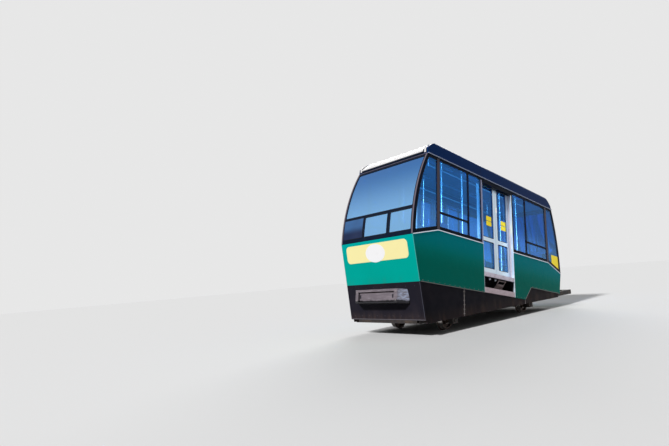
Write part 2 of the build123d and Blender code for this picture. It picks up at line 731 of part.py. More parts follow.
def stanchions():
    """Upright poles from the floor to the ceiling."""
    poles = []
    room = roof_block(ROOF_WALL) + block((-BIG, BIG), (-BIG, BIG), (FLOOR_Z + CEILING_GAP, EAVE_Z))
    for x, y in POLE_SPOTS:
        pole = Pos(x, y, 0) * Cylinder(POLE_RADIUS, BIG / 2)
        poles.extend(both_sides(pole & room))
    return poles


def benches():
    """Side benches at both ends of the cabin."""
    seats = []
    foot = FLOOR_Z + CEILING_GAP
    for x in BENCH_RUNS:
        front = BENCH_FACE_Y - BENCH_DEPTH
        pan = block(x, (front, BENCH_FACE_Y), (foot + BENCH_HEIGHT - BENCH_WALL, foot + BENCH_HEIGHT))
        back = block(x, (BENCH_FACE_Y - BENCH_WALL, BENCH_FACE_Y), (foot, foot + BENCH_HEIGHT + BENCH_BACK))
        seat = pan + back
        for end in (x[0], x[1] - BENCH_WALL):
            leg_y = (front + BENCH_KNEE_ROOM, BENCH_FACE_Y)
            seat = seat + block((end, end + BENCH_WALL), leg_y, (foot, foot + BENCH_HEIGHT))
        seats.extend(both_sides(seat))
    return seats


def driver_desks():
    """Control desk at each end, shaped to the end wall and open at the driver's side."""
    room = cabin_profile(END_WALL + DESK_GAP, -HALF, HALF)
    foot, head = FLOOR_Z + CEILING_GAP, FLOOR_Z + DESK_HEIGHT
    lean = END_WALL + DESK_GAP + DESK_DEPTH
    desks = []
    for x, knee_x, y in (((0, lean), (0, BIG), (-DESK_WIDTH, 0)),
                         ((CAR_LENGTH - lean, CAR_LENGTH), (-BIG, CAR_LENGTH), (0, DESK_WIDTH))):
        desk = block(x, y, (foot, head)) & room
        knees = block(knee_x, (y[0] + DESK_WALL, y[1] - DESK_WALL), (-BIG, head - DESK_WALL))
        desks.append(desk - (knees & cabin_profile(END_WALL + DESK_GAP + DESK_WALL, -HALF, HALF)))
    return desks


def centred(parts):
    """Moves every piece along the track so that x = 0 is the middle of the overall length."""
    whole = solids_of([piece for pieces in parts.values() for piece in pieces]).bounding_box()
    shift = Pos(-(whole.min.X + whole.max.X) / 2, 0, 0)
    return {name: [shift * piece for piece in pieces] for name, pieces in parts.items()}


def build_parts():
    """Every node of the car by name, in the track frame."""
    top_skin, caps, cant = roof_skins()
    drip = block(EAVE_X, (HALF, HALF + DRIP_PROUD), (EAVE_Z - DRIP_HEIGHT / 2, EAVE_Z + DRIP_HEIGHT / 2))

    level_parts = {
        "floor": [floor()],
        "side_panels_front": both_sides(side_panel(False)),
        "side_panels_rear": both_sides(side_panel(True)),
        "window_frames_front": both_sides(window_frame(False)),
        "window_frames_rear": both_sides(window_frame(True)),
        "side_glass": side_glass(),
        "end_frame_front": [end_frame(False)],
        "end_frame_rear": [end_frame(True)],
        "end_glass": end_glass(),
        "apron_front": [apron()],
        "bumper": [bumper()],
        "roof_skin": [top_skin],
        "cant_panels": both_sides(cant),
        "roof_caps": [caps],
        "drip_rails": both_sides(drip),
        "door_jambs": both_sides(door_jamb(False)) + both_sides(door_jamb(True)),
        "door_headers": both_sides(door_header()),
        "door_sills": both_sides(door_sill()),
        "door_tracks": both_sides(door_track()),
        "step_wells": both_sides(step_well()),
        "step_bars": both_sides(step_bar()),
        "steps": both_sides(step()),
        "stanchions": stanchions(),
        "benches": benches(),
        "driver_desks": driver_desks(),
    }
    for name, rear in (("front", False), ("rear", True)):
        leaves = both_sides(door_leaf(rear))
        panes = [both_sides(pane) for pane in door_panes(rear)]
        for index, side in enumerate(("left", "right")):
            level_parts[f"door_{side}_{name}"] = [leaves[index]]
            level_parts[f"door_glass_{side}_{name}"] = [pair[index] for pair in panes]

    parts = {name: [on_slope(piece) for piece in pieces] for name, pieces in level_parts.items()}
    parts["end_panel_front"] = [end_panel(False)]
    parts["end_panel_rear"] = [end_panel(True)]
    parts["skirts"] = both_sides(skirt())
    parts["frame_beams"] = frame_beams()
    parts["cross_members"] = cross_members()
    parts["body_posts"] = body_posts()
    parts["axle_boxes"] = axle_boxes()
    parts["rope_anchor"] = [rope_anchor()]
    for name, x in AXLE_X.items():
        parts[f"axle_{name}"] = [axle(x)]
        parts[f"wheels_{name}"] = both_sides(wheel(x))
    return centred(parts)


os.makedirs("parts", exist_ok=True)
for node, pieces in build_parts().items():
    export_step(solids_of(pieces), f"parts/{node}.step")
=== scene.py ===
import bmesh
import bpy
from math import cos, pi, radians, sin, sqrt
from mathutils import Matrix, Vector

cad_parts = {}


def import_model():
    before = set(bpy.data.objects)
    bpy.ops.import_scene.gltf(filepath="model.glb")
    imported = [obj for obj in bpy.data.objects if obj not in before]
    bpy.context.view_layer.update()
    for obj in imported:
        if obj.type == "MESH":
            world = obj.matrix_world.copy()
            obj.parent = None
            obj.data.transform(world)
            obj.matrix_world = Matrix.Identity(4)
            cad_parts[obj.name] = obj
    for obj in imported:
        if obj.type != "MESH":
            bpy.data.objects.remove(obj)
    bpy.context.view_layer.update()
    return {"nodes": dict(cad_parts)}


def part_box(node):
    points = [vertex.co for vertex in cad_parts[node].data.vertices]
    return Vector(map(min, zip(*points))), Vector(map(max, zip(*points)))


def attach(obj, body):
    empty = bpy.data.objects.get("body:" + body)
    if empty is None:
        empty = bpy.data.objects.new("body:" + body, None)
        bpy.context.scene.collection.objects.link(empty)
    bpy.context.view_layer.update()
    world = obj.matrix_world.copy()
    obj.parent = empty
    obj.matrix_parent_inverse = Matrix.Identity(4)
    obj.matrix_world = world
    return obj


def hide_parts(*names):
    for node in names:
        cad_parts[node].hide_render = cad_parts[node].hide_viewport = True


# Looks of the funicular car, in metres, in the frame of its track.
# Level sizes have their x from the lower end's belt corner, growing uphill, and their z from
# the belt line, the light line under the side windows. LEVEL turns them with the track's slope.

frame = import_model()

# Track and cabin sizes
SLOPE = radians(9.8)
MIDDLE_X = 3.062
BELT_OVER_RAIL = 2.168
FLANGE_HEIGHT = 0.022
FRONT_AXLE_X = -1.850
HALF = 1.000
CAR_LENGTH = 6.350
CORNER_Z = -0.214
KINK_RUN = {"front": 0.782, "rear": 0.735}
EAVE_Z = 1.552
RAKE = {"front": 0.455, "rear": 0.335}
UNDERCUT = 0.25
GREEN_FOOT_Z = -1.084
REAR_FOOT_Z = -0.768
APRON_FOOT_Z = -1.792
NOTCH_TIP_X = 4.271
NOTCH_TOP_X = 4.590
END_WALL = 0.050
SIDE_WALL = 0.040
FLOOR_Z = -0.622
SKIRT_INSET = 0.014

# How far the middle of a thin strip, or the seat of a screw, stands off the surface under it
PROUD = 0.001

# Windows
WINDOW_Z = (0.076, 1.488)
SIDE_BAR_Z = (0.358, 0.392)
B_PILLAR_X = (0.755, 0.840)
FRONT_DIVIDER_X = (1.866, 1.896)
FRONT_POST = 0.060
REAR_POST = 0.045
REAR_DIVIDER_X = (4.448, 4.482)
C_PILLAR_X = (5.566, 5.660)
CORNER_STILE = 0.022
CORNER_SILL = 0.082
SCREEN_Z = (0.367, 1.490)
SCREEN_EDGE_Y = 0.946
LOW_PANE_Z = (-0.118, 0.307)
NEAR_PANE_Y = -0.390
MIDDLE_PANE_Y = (-0.320, 0.320)
DARK_PANE_Y = (0.372, 0.940)
GASKET_LAP = 0.004
GASKET_HEIGHT = 0.005

# Doorway and leaves
DOOR_X = (2.445, 3.780)
DOOR_MIDDLE = 3.145
DOOR_HEAD_Z = 1.440
LEAF_Y = (0.871, 0.905)
LEAF_LAP = 0.024
LEAF_GAP = 0.006
LEAF_Z = (-0.613, 1.470)
MEETING_STILE = 0.095
OUTER_STILE = {"front": 0.170, "rear": 0.144}
TOP_RAIL = 0.040
FOOT_RAIL_Z = -0.497
MID_RAIL_Z = (0.114, 0.218)
JAMB_WIDTH = (0.008, 0.026)
REVEAL_Y = 0.932
SILL_Z = (-0.716, -0.622)
STEP_BAR_Z = (-1.076, -0.960)
STICKER_X = {"front": (2.772, 2.992), "rear": (3.412, 3.652)}
STICKER_Z = ((0.503, 0.610), (0.622, 0.730))
STICKER_Y = (0.8915, 0.8932)
LABEL_X = (3.156, 3.236)
LABEL_Z = (0.892, 1.000)
BRACKET_X = (2.855, 3.100)
BRACKET_Y = (0.862, 0.898)
BRACKET_Z = (-0.752, -0.7225)
LUG_Y = (0.870, 0.884)
LUG_Z = (-0.770, -0.745)
STEP_MIDDLE_X = 3.3695
STEP_HINGE_Y = 0.905
STEP_HINGE_Z = -0.7356
STEP_SWING = radians(34)
SLAT_COUNT = 11
SLAT_PITCH = 0.0104
SLAT_START = 0.112
SLAT_LIFT = 0.009
SLAT_SIZE = (0.262, 0.008, 0.004)

# The ends
PANEL_Y = (-0.832, 0.868)
PANEL_Z = (-0.640, -0.280)
PANEL_CORNER = 0.085
OVAL_MIDDLE = (0.030, -0.478)
OVAL_HALF = (0.268, 0.182)
YELLOW_RUN = 0.495
YELLOW_TOP_Z = 0.250
APRON_PANEL_Z = (-1.740, -1.130)
APRON_PANEL_Y = 0.925
BUMPER_PROUD = 0.209
BUMPER_FRONT_WIDTH = 1.130
BUMPER_Z = (-1.480, -1.212)
BUMPER_PLATE_RECESS = 0.026
SLOT_Y = (0.425, 0.455)
SLOT_Z = (-1.385, -1.315)

# Roof and skirts
ROOF_TOP_Z = 1.924
CANT_INNER_Y = 0.885
CANT_FOOT_Z = 1.567
CANT_LEAN = 0.13
LIP_PROUD = 0.025
LIP_KNEE_Z = 1.625
ROOF_END_RUN = {"front": 0.588, "rear": 0.350}
ROOF_END_MID = {"front": (0.181, 0.372), "rear": (0.314, 0.46)}
SHOULDER_TOP_Z = 1.902
SHOULDER_Y = 0.860
SHOULDER_PAINT_Y = 0.810
ROOF_SEAM_X = (1.40, 5.30)
BAND_JOINT_X = (2.43, 3.86)
BAND_JOINT_Z = (1.572, 1.735)
BAND_SCREW_Z = 1.585
SKIRT_SEAM_X = 1.672
SKIRT_FOOT = 0.263

# Inside
POLE_SPOTS = ((1.520, 0.550), (2.300, 0.560), (3.990, 0.560), (4.830, 0.560))
GRAB_RAIL_Y = 0.557
GRAB_RAIL_Z = 1.560
POLE_JOINT_Z = 1.10
CEILING_Z = 1.812
LAMP_X = (1.25, 2.65, 4.05)
LAMP_LENGTH = 1.0
LAMP_Y = 0.36
LAMP_HALF_WIDTH = 0.045
DESK_TOP_Z = FLOOR_Z + 0.700
DESK_PANEL_X = (0.13, 0.36)
DESK_PANEL_Y = (-0.62, -0.08)
KNOBS_X = 0.31
KNOBS_Y = (-0.55, -0.49, -0.43, -0.37)
LEVER_PLACE = (0.26, -0.17)
DIALS_X = 0.20
DIALS_Y = (-0.52, -0.40, -0.28)

# Axle boxes, hubs and wheels
BOX_FACE_Y = 0.896
BOX_BOLT_X = 0.070
BOX_BOLT_Z = 0.038
HUB_FACE_Y = 0.695
HUB_BOLT_CIRCLE = 0.068
TREAD_REACH = 0.172

ENDS = ("front", "rear")
SIDES = (1, -1)

# Side, end and name of each door leaf
LEAVES = [(side, end, f"{label}_{end}") for side, label in ((1, "left"), (-1, "right")) for end in ENDS]

front_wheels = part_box("wheels_front")
ORIGIN_X = (front_wheels[0].x + front_wheels[1].x) / 2 - FRONT_AXLE_X - MIDDLE_X * cos(SLOPE)
ORIGIN_Z = FLANGE_HEIGHT + BELT_OVER_RAIL * cos(SLOPE)
LEVEL = Matrix.Translation((ORIGIN_X, 0, ORIGIN_Z)) @ Matrix.Rotation(SLOPE, 4, "Y")
LEVEL_TURN = (0, -SLOPE, 0)
LEVEL_SHIFT = -(Matrix.Rotation(-SLOPE, 3, "Y") @ Vector((ORIGIN_X, 0, ORIGIN_Z)))


# Node helpers

def add_node(tree, kind, inputs=None, **modes):
    """New node with its modes set, and each input set to a value or linked from an output."""
    node = tree.nodes.new(kind)
    for mode, value in modes.items():
        setattr(node, mode, value)
    for label, value in (inputs or {}).items():
        if isinstance(value, bpy.types.NodeSocket):
            tree.links.new(value, node.inputs[label])
        else:
            node.inputs[label].default_value = value
    return node


def end_in_mix(tree, mask, shader, other, end="Material Output"):
    """Ends a tree in one shader, or in the other where the mask is 1."""
    mix = add_node(tree, "ShaderNodeMixShader", {"Fac": mask, 1: shader, 2: other})
    tree.links.new(mix.outputs["Shader"], tree.nodes[end].inputs["Surface"])


def shown_ray(tree):
    """1 for rays from the camera, off gloss and through glass, 0 for rays that carry light."""
    path = add_node(tree, "ShaderNodeLightPath")
    seen = path.outputs["Is Camera Ray"]
    for ray in ("Is Glossy Ray", "Is Transmission Ray"):
        either = add_node(tree, "ShaderNodeMath", {0: seen, 1: path.outputs[ray]}, operation="MAXIMUM")
        seen = either.outputs["Value"]
    return seen


# Finishes

class Finish:
    """A material with its colour, roughness and relief built from noise on Object coordinates."""

    def __init__(self, name, color, roughness, metallic=0.0, specular=0.5):
        self.material = bpy.data.materials.new(name)
        self.material.use_nodes = True
        self.tree = self.material.node_tree
        self.shader = self.tree.nodes["Principled BSDF"]
        self.place = add_node(self.tree, "ShaderNodeTexCoord").outputs["Object"]
        self.set({"Base Color": (*color, 1), "Roughness": roughness, "Metallic": metallic,
                  "Specular IOR Level": specular})

    def set(self, values):
        """Sets the shader's sockets."""
        for label, value in values.items():
            self.shader.inputs[label].default_value = value

    def mapped(self, scale=(1, 1, 1), turn=(0, 0, 0), shift=(0, 0, 0)):
        """Object coordinates, stretched, turned and shifted."""
        return add_node(self.tree, "ShaderNodeMapping", {
            "Vector": self.place, "Scale": scale, "Rotation": turn, "Location": shift}).outputs["Vector"]

    def noise(self, scale, detail, stretch=(1, 1, 1), turn=(0, 0, 0)):
        """Noise of so many blots a metre."""
        return add_node(self.tree, "ShaderNodeTexNoise", {
            "Vector": self.mapped(stretch, turn), "Scale": scale, "Detail": detail}).outputs["Fac"]

    def axis(self, name, turn=(0, 0, 0), shift=(0, 0, 0)):
        """One axis of the turned Object coordinates."""
        turned = self.mapped((1, 1, 1), turn, shift)
        return add_node(self.tree, "ShaderNodeSeparateXYZ", {"Vector": turned}).outputs[name]

    def height(self):
        """Level height over the belt line."""
        return self.axis("Z", LEVEL_TURN, LEVEL_SHIFT)

    def off_middle(self):
        """Distance from the car's middle plane."""
        return self.math("ABSOLUTE", self.axis("Y"), 0)

    def spread(self, value, low, high, out_low=0.0, out_high=1.0):
        """Value mapped from one range to another, smoothly and clamped."""
        return add_node(self.tree, "ShaderNodeMapRange", {
            "Value": value, "From Min": low, "From Max": high, "To Min": out_low, "To Max": out_high},
            interpolation_type="SMOOTHSTEP").outputs["Result"]

    def math(self, how, a, b):
        """Result of a math operation on two values, clamped where they are multiplied."""
        return add_node(self.tree, "ShaderNodeMath", {0: a, 1: b}, operation=how,
                        use_clamp=how == "MULTIPLY").outputs["Value"]

    def tint(self, mask, color):
        """Blends another colour over what the base colour has, where the mask is 1."""
        socket = self.shader.inputs["Base Color"]
        under = socket.links[0].from_socket if socket.is_linked else tuple(socket.default_value)
        node = add_node(self.tree, "ShaderNodeMix", {0: mask, 6: under, 7: (*color, 1)}, data_type="RGBA")
        self.tree.links.new(node.outputs[2], socket)
        return self

    def stain(self, scale, detail, low, high, amount, color, stretch=(1, 1, 1)):
        """Blots of another colour where noise is over a level."""
        return self.tint(self.spread(self.noise(scale, detail, stretch), low, high, 0, amount), color)

    def rough(self, scale, detail, low, high, stretch=(1, 1, 1), turn=(0, 0, 0)):
        """Roughness that runs from low to high with noise."""
        mask = self.spread(self.noise(scale, detail, stretch, turn), 0.25, 0.75, low, high)
        self.tree.links.new(mask, self.shader.inputs["Roughness"])
        return self

    def bump(self, height, distance, strength):
        """Bump of that depth in metres."""
        node = add_node(self.tree, "ShaderNodeBump", {
            "Height": height, "Distance": distance, "Strength": strength})
        self.tree.links.new(node.outputs["Normal"], self.shader.inputs["Normal"])
        return self

    def relief(self, scale, detail, distance, strength, stretch=(1, 1, 1), turn=(0, 0, 0)):
        """Uneven surface from noise."""
        return self.bump(self.noise(scale, detail, stretch, turn), distance, strength)

    def grain(self, scale, distance, strength):
        """Moulded grain from Worley cells."""
        cells = add_node(self.tree, "ShaderNodeTexVoronoi", {"Vector": self.place, "Scale": scale})
        return self.bump(cells.outputs["Distance"], distance, strength)


def green_paint():
    """Glossy green coach paint, with a painted sky reflection that makes it bluer under the windows, a
    painted shade and a painted reflection on the sides, and a little road dust at its foot.
    """
    look = Finish("green coach paint", (0.0, 0.365, 0.305), 0.22, specular=0.012)
    look.stain(1.6, 5, 0.45, 0.75, 0.4, (0.0, 0.32, 0.255))
    # Painted sky reflection: bluer teal towards the windows, on every face
    look.tint(look.spread(look.height(), -0.75, -0.15, 0, 0.6), (0.0, 0.40, 0.40))
    # Painted light on the sides only: a painted shade darker towards the foot, and a painted sky reflection
    # bluer towards the windows
    side_painted_light = look.spread(look.off_middle(), HALF - 0.012, HALF - 0.002)
    for low, high, amount, color in ((-0.30, -0.75, 0.9, (0.0, 0.28, 0.21)),
                                     (-0.50, -0.10, 0.7, (0.0, 0.44, 0.53))):
        look.tint(look.math("MULTIPLY", side_painted_light, look.spread(look.height(), low, high, 0, amount)), color)
    dust = look.spread(look.noise(9, 6, (1, 1, 0.25)), 0.4, 0.8, 0, 0.3)
    look.tint(look.math("MULTIPLY", look.spread(look.height(), -0.90, -1.10), dust), (0.03, 0.20, 0.15))
    return look.rough(3, 5, 0.19, 0.34).relief(260, 2, 0.0003, 0.25).material


def black_paint():
    """Black lower body with brown dust low down."""
    look = Finish("dusty black paint", (0.014, 0.013, 0.020), 0.45, specular=0.03)
    look.stain(2.4, 7, 0.45, 0.85, 0.55, (0.036, 0.029, 0.036))
    band = look.spread(look.axis("Z", (0, radians(1.3), 0)), 0.62, 0.30)
    streaks = look.spread(look.noise(14, 7, (0.5, 1, 0.12)), 0.35, 0.75)
    look.tint(look.math("MULTIPLY", band, look.spread(streaks, 0.1, 1.0, 0.35, 1.0)), (0.075, 0.052, 0.047))
    return look.rough(7, 5, 0.36, 0.62).relief(130, 4, 0.0005, 0.35).material


def bumper_grey():
    """Scuffed grey steel of the bumper, with a scuffed painted sky reflection that makes its slanting ends
    bluer, and a painted shade that makes its underside black.
    """
    look = Finish("scuffed bumper grey", (0.15, 0.125, 0.145), 0.44, metallic=0.2, specular=0.3)
    look.stain(9, 7, 0.42, 0.75, 0.75, (0.23, 0.195, 0.22), (1, 0.4, 2))
    corner = BUMPER_FRONT_WIDTH / 2
    # Painted sky reflection on the slanting ends, broken up by scuffs
    slant_reflection = look.spread(look.off_middle(), corner - 0.01, corner + 0.03)
    scuffs = look.spread(look.noise(26, 6, (0.5, 0.3, 2)), 0.40, 0.62, 0.15, 1.0)
    look.tint(look.math("MULTIPLY", slant_reflection, scuffs), (0.40, 0.45, 0.60))
    look.stain(40, 6, 0.60, 0.72, 0.8, (0.42, 0.40, 0.46), (0.3, 0.15, 3))
    look.stain(16, 6, 0.66, 0.80, 0.6, (0.10, 0.075, 0.05))
    # Painted shade: the bottom few centimetres turn black, with a ragged edge
    ragged_shade_line = look.math("ADD", look.height(), look.spread(look.noise(14, 5), 0.3, 0.7, -0.010, 0.010))
    look.tint(look.spread(ragged_shade_line, BUMPER_Z[0] + 0.062, BUMPER_Z[0] + 0.040), (0.018, 0.017, 0.021))
    return look.rough(20, 5, 0.34, 0.6).relief(55, 6, 0.0012, 0.5).material


def sill_grey():
    """Worn grey threshold, paler at the top, with pink dust."""
    look = Finish("worn sill grey", (0.64, 0.52, 0.57), 0.48, metallic=0.45)
    look.tint(look.spread(look.height(), -0.80, -0.70), (0.80, 0.74, 0.86))
    look.stain(11, 7, 0.45, 0.75, 0.5, (0.42, 0.33, 0.36), (0.5, 1, 1.5))
    look.stain(55, 6, 0.62, 0.75, 0.7, (0.70, 0.64, 0.70), (0.3, 1, 2))
    return look.rough(24, 5, 0.38, 0.65).relief(80, 5, 0.0006, 0.45).material


def tinted_glass(name, film, foot, head, head_z):
    """Glass with a blue sun film that lets lamps shine in, and a painted reflection, light at its foot and
    dark towards its head.
    """
    look = Finish(name, foot, 0.02, metallic=film, specular=0.08)
    look.set({"Transmission Weight": 1.0, "IOR": 1.06})
    # Painted reflection: the colour darkens towards the head
    look.tint(look.spread(look.height(), 0.20, head_z), head)
    lit = add_node(look.tree, "ShaderNodeBsdfTransparent", {"Color": (0.78, 0.86, 0.94, 1)})
    shadow = add_node(look.tree, "ShaderNodeLightPath").outputs["Is Shadow Ray"]
    end_in_mix(look.tree, shadow, look.shader.outputs["BSDF"], lit.outputs["BSDF"])
    return look.material


def dark_glass():
    """Near-black glossy pane, with a painted sky reflection that makes it bluer at its head."""
    look = Finish("dark glass pane", (0.012, 0.022, 0.068), 0.07, specular=0.08)
    # Painted reflection: bluer towards the head
    look.tint(look.spread(look.height(), -0.02, 0.18), (0.045, 0.13, 0.31))
    return look.stain(2.5, 4, 0.4, 0.7, 0.3, (0.03, 0.045, 0.10)).material


def plain_metal(name, color, roughness, second):
    """Painted or bare metal strip with light dirt."""
    look = Finish(name, color, roughness, metallic=0.2, specular=0.4).stain(26, 6, 0.45, 0.8, 0.7, second)
    return look.rough(50, 4, roughness - 0.08, roughness + 0.12).relief(260, 3, 0.0003, 0.3).material


# Finishes with a function of their own
GREEN = green_paint()
LOWER_BLACK = black_paint()
BUMPER = bumper_grey()
SILL = sill_grey()
GLASS = tinted_glass("blue tinted glass", 0.20, (0.22, 0.57, 1.0), (0.06, 0.34, 0.80), 0.80)
SCREEN_GLASS = tinted_glass("blue windscreen glass", 0.82, (0.30, 0.62, 1.0), (0.055, 0.225, 0.60), 1.50)
BLACK_GLASS = dark_glass()

# Painted strips
DUSTY_TRIM = plain_metal("dusty trim", (0.26, 0.23, 0.23), 0.45, (0.15, 0.11, 0.10))
APRON_TRIM = plain_metal("apron trim", (0.13, 0.12, 0.14), 0.42, (0.07, 0.06, 0.07))
APRON_CORNER = plain_metal("apron corner", (0.075, 0.08, 0.11), 0.42, (0.05, 0.05, 0.06))
# Pale green bead colour: a painted highlight along the end panels' corner edges
CORNER_HIGHLIGHT_GREEN = plain_metal("green bead painted highlight", (0.10, 0.50, 0.48), 0.30, (0.02, 0.40, 0.36))
LILAC = plain_metal("lilac grey reveal", (0.64, 0.60, 0.70), 0.38, (0.50, 0.44, 0.54))
DOOR_POST = plain_metal("lavender door post", (0.36, 0.38, 0.62), 0.36, (0.24, 0.24, 0.40))
DRIP = plain_metal("lavender drip rail", (0.44, 0.52, 0.72), 0.40, (0.26, 0.30, 0.42))
STEP = plain_metal("worn step grey", (0.52, 0.42, 0.42), 0.45, (0.30, 0.23, 0.22))

# Deep navy gloss of the roof's sides
NAVY = (Finish("navy roof band", (0.0005, 0.034, 0.165), 0.18, specular=0.012)
        .stain(2.2, 5, 0.5, 0.8, 0.5, (0.001, 0.048, 0.20))
        .rough(4, 4, 0.14, 0.28)
        .relief(180, 2, 0.0003, 0.2).material)

# Weathered white roof
WHITE_ROOF = (Finish("white roof paint", (0.75, 0.735, 0.735), 0.42, specular=0.15)
              .stain(1.3, 7, 0.5, 0.85, 0.35, (0.60, 0.57, 0.52), (1, 2.5, 1))
              .stain(22, 5, 0.62, 0.85, 0.3, (0.50, 0.46, 0.40))
              .rough(6, 4, 0.34, 0.55)
              .relief(90, 4, 0.0005, 0.35).material)

# Black lacquer of the window frames
FRAME_BLACK = (Finish("black window frame", (0.005, 0.011, 0.028), 0.33, specular=0.025)
               .stain(5, 6, 0.5, 0.8, 0.5, (0.013, 0.017, 0.034))
               .rough(14, 4, 0.26, 0.45)
               .relief(220, 2, 0.0003, 0.25).material)

# Brown-grey pillars, sun-faded
PILLAR = (Finish("brown grey pillar", (0.135, 0.115, 0.145), 0.42, specular=0.10)
          .stain(6, 6, 0.45, 0.8, 0.6, (0.20, 0.165, 0.185), (1, 1, 0.3))
          .rough(18, 4, 0.34, 0.55)
          .relief(240, 3, 0.0004, 0.3).material)

# Satin aluminium of the doors, brushed upright
ALUMINIUM = (Finish("satin aluminium", (0.74, 0.88, 1.0), 0.34, metallic=0.8)
             .stain(4, 5, 0.5, 0.8, 0.4, (0.62, 0.76, 0.94))
             .rough(420, 3, 0.28, 0.44, (1, 1, 0.02), LEVEL_TURN)
             .relief(420, 3, 0.0002, 0.35, (1, 1, 0.02), LEVEL_TURN).material)

# Pale anodised trim
TRIM = (Finish("pale trim", (0.82, 0.88, 1.0), 0.35, metallic=0.8)
        .stain(24, 6, 0.55, 0.8, 0.6, (0.62, 0.60, 0.68))
        .rough(60, 4, 0.28, 0.5)
        .relief(300, 2, 0.0002, 0.3).material)

# Dark chassis paint under brown dust
CHASSIS = (Finish("dusty chassis paint", (0.026, 0.022, 0.022), 0.55, specular=0.3)
           .stain(8, 7, 0.42, 0.72, 0.8, (0.085, 0.058, 0.043))
           .stain(34, 6, 0.62, 0.78, 0.7, (0.16, 0.07, 0.035))
           .rough(20, 5, 0.45, 0.75)
           .relief(90, 6, 0.001, 0.5).material)

# Cast wheels, brown with rust and dust
WHEEL = (Finish("rusty cast steel", (0.085, 0.062, 0.052), 0.55, metallic=0.35)
         .stain(18, 7, 0.45, 0.75, 0.8, (0.17, 0.085, 0.05))
         .rough(26, 5, 0.42, 0.72)
         .relief(110, 6, 0.0009, 0.5).material)

# Polished treads and screws
BRIGHT = (Finish("worn bright steel", (0.50, 0.47, 0.45), 0.25, metallic=0.9)
          .stain(60, 5, 0.5, 0.8, 0.6, (0.28, 0.22, 0.19), (1, 0.1, 1))
          .rough(80, 4, 0.18, 0.42).material)

# Pale polished poles
POLE = (Finish("polished pole", (0.95, 0.95, 0.95), 0.18, metallic=0.5)
        .rough(70, 3, 0.12, 0.26, (1, 1, 0.05))
        .relief(500, 2, 0.0001, 0.3, (1, 1, 0.02)).material)

# Cream vinyl of the end panel
CREAM = (Finish("cream vinyl", (0.93, 0.84, 0.40), 0.34, specular=0.2)
         .stain(5, 5, 0.5, 0.8, 0.35, (0.90, 0.79, 0.35))
         .rough(12, 4, 0.28, 0.45)
         .relief(200, 2, 0.0002, 0.25).material)

# White vinyl and enamel
WHITE = (Finish("white vinyl", (0.90, 0.89, 0.90), 0.34)
         .stain(7, 5, 0.55, 0.8, 0.3, (0.82, 0.80, 0.80))
         .rough(12, 4, 0.28, 0.45).material)

# White foil that throws light back
WHITE_FOIL = (Finish("white reflective foil", (1.0, 1.0, 1.0), 0.4, metallic=0.85)
              .rough(12, 4, 0.34, 0.5).material)

# Yellow vinyl that throws light back
YELLOW = (Finish("yellow reflective vinyl", (1.0, 0.80, 0.02), 0.36, metallic=0.85, specular=0.05)
          .stain(9, 5, 0.55, 0.8, 0.4, (1.0, 0.70, 0.02))
          .rough(12, 4, 0.3, 0.48).material)

# Black rubber of gaskets and knobs
RUBBER = (Finish("black rubber", (0.008, 0.010, 0.017), 0.62, specular=0.08)
          .stain(30, 5, 0.55, 0.8, 0.5, (0.020, 0.021, 0.026))
          .relief(400, 2, 0.0002, 0.4).material)

# Blue moulded seats
BENCH = (Finish("blue moulded seat", (0.045, 0.12, 0.34), 0.38)
         .stain(9, 6, 0.5, 0.8, 0.4, (0.07, 0.16, 0.40))
         .rough(18, 4, 0.3, 0.5)
         .grain(900, 0.0002, 0.4).material)

# Grained dark desks
DESK = (Finish("grained desk", (0.055, 0.055, 0.062), 0.5)
        .stain(7, 6, 0.5, 0.8, 0.5, (0.085, 0.082, 0.085))
        .grain(700, 0.0003, 0.6).material)

# Grey floor covering with pale flecks
FLOOR = (Finish("grey floor rubber", (0.10, 0.10, 0.11), 0.6, specular=0.3)
         .stain(5, 7, 0.45, 0.8, 0.7, (0.15, 0.135, 0.12))
         .stain(160, 2, 0.62, 0.7, 0.8, (0.24, 0.24, 0.25))
         .relief(220, 3, 0.0004, 0.4).material)

# Grey inner lining
LINING = (Finish("grey lining", (0.34, 0.35, 0.37), 0.5)
          .stain(4, 6, 0.5, 0.8, 0.4, (0.28, 0.28, 0.29))
          .grain(420, 0.0002, 0.35).material)

# Opal covers of the ceiling lamps, unlit
OPAL = (Finish("opal cover", (0.90, 0.90, 0.86), 0.3)
        .stain(30, 3, 0.5, 0.9, 0.3, (0.82, 0.80, 0.74)).material)


# Mesh helpers

BOX_FACES = ((0, 1, 3, 2), (4, 6, 7, 5), (0, 4, 5, 1), (2, 3, 7, 6), (0, 2, 6, 4), (1, 5, 7, 3))


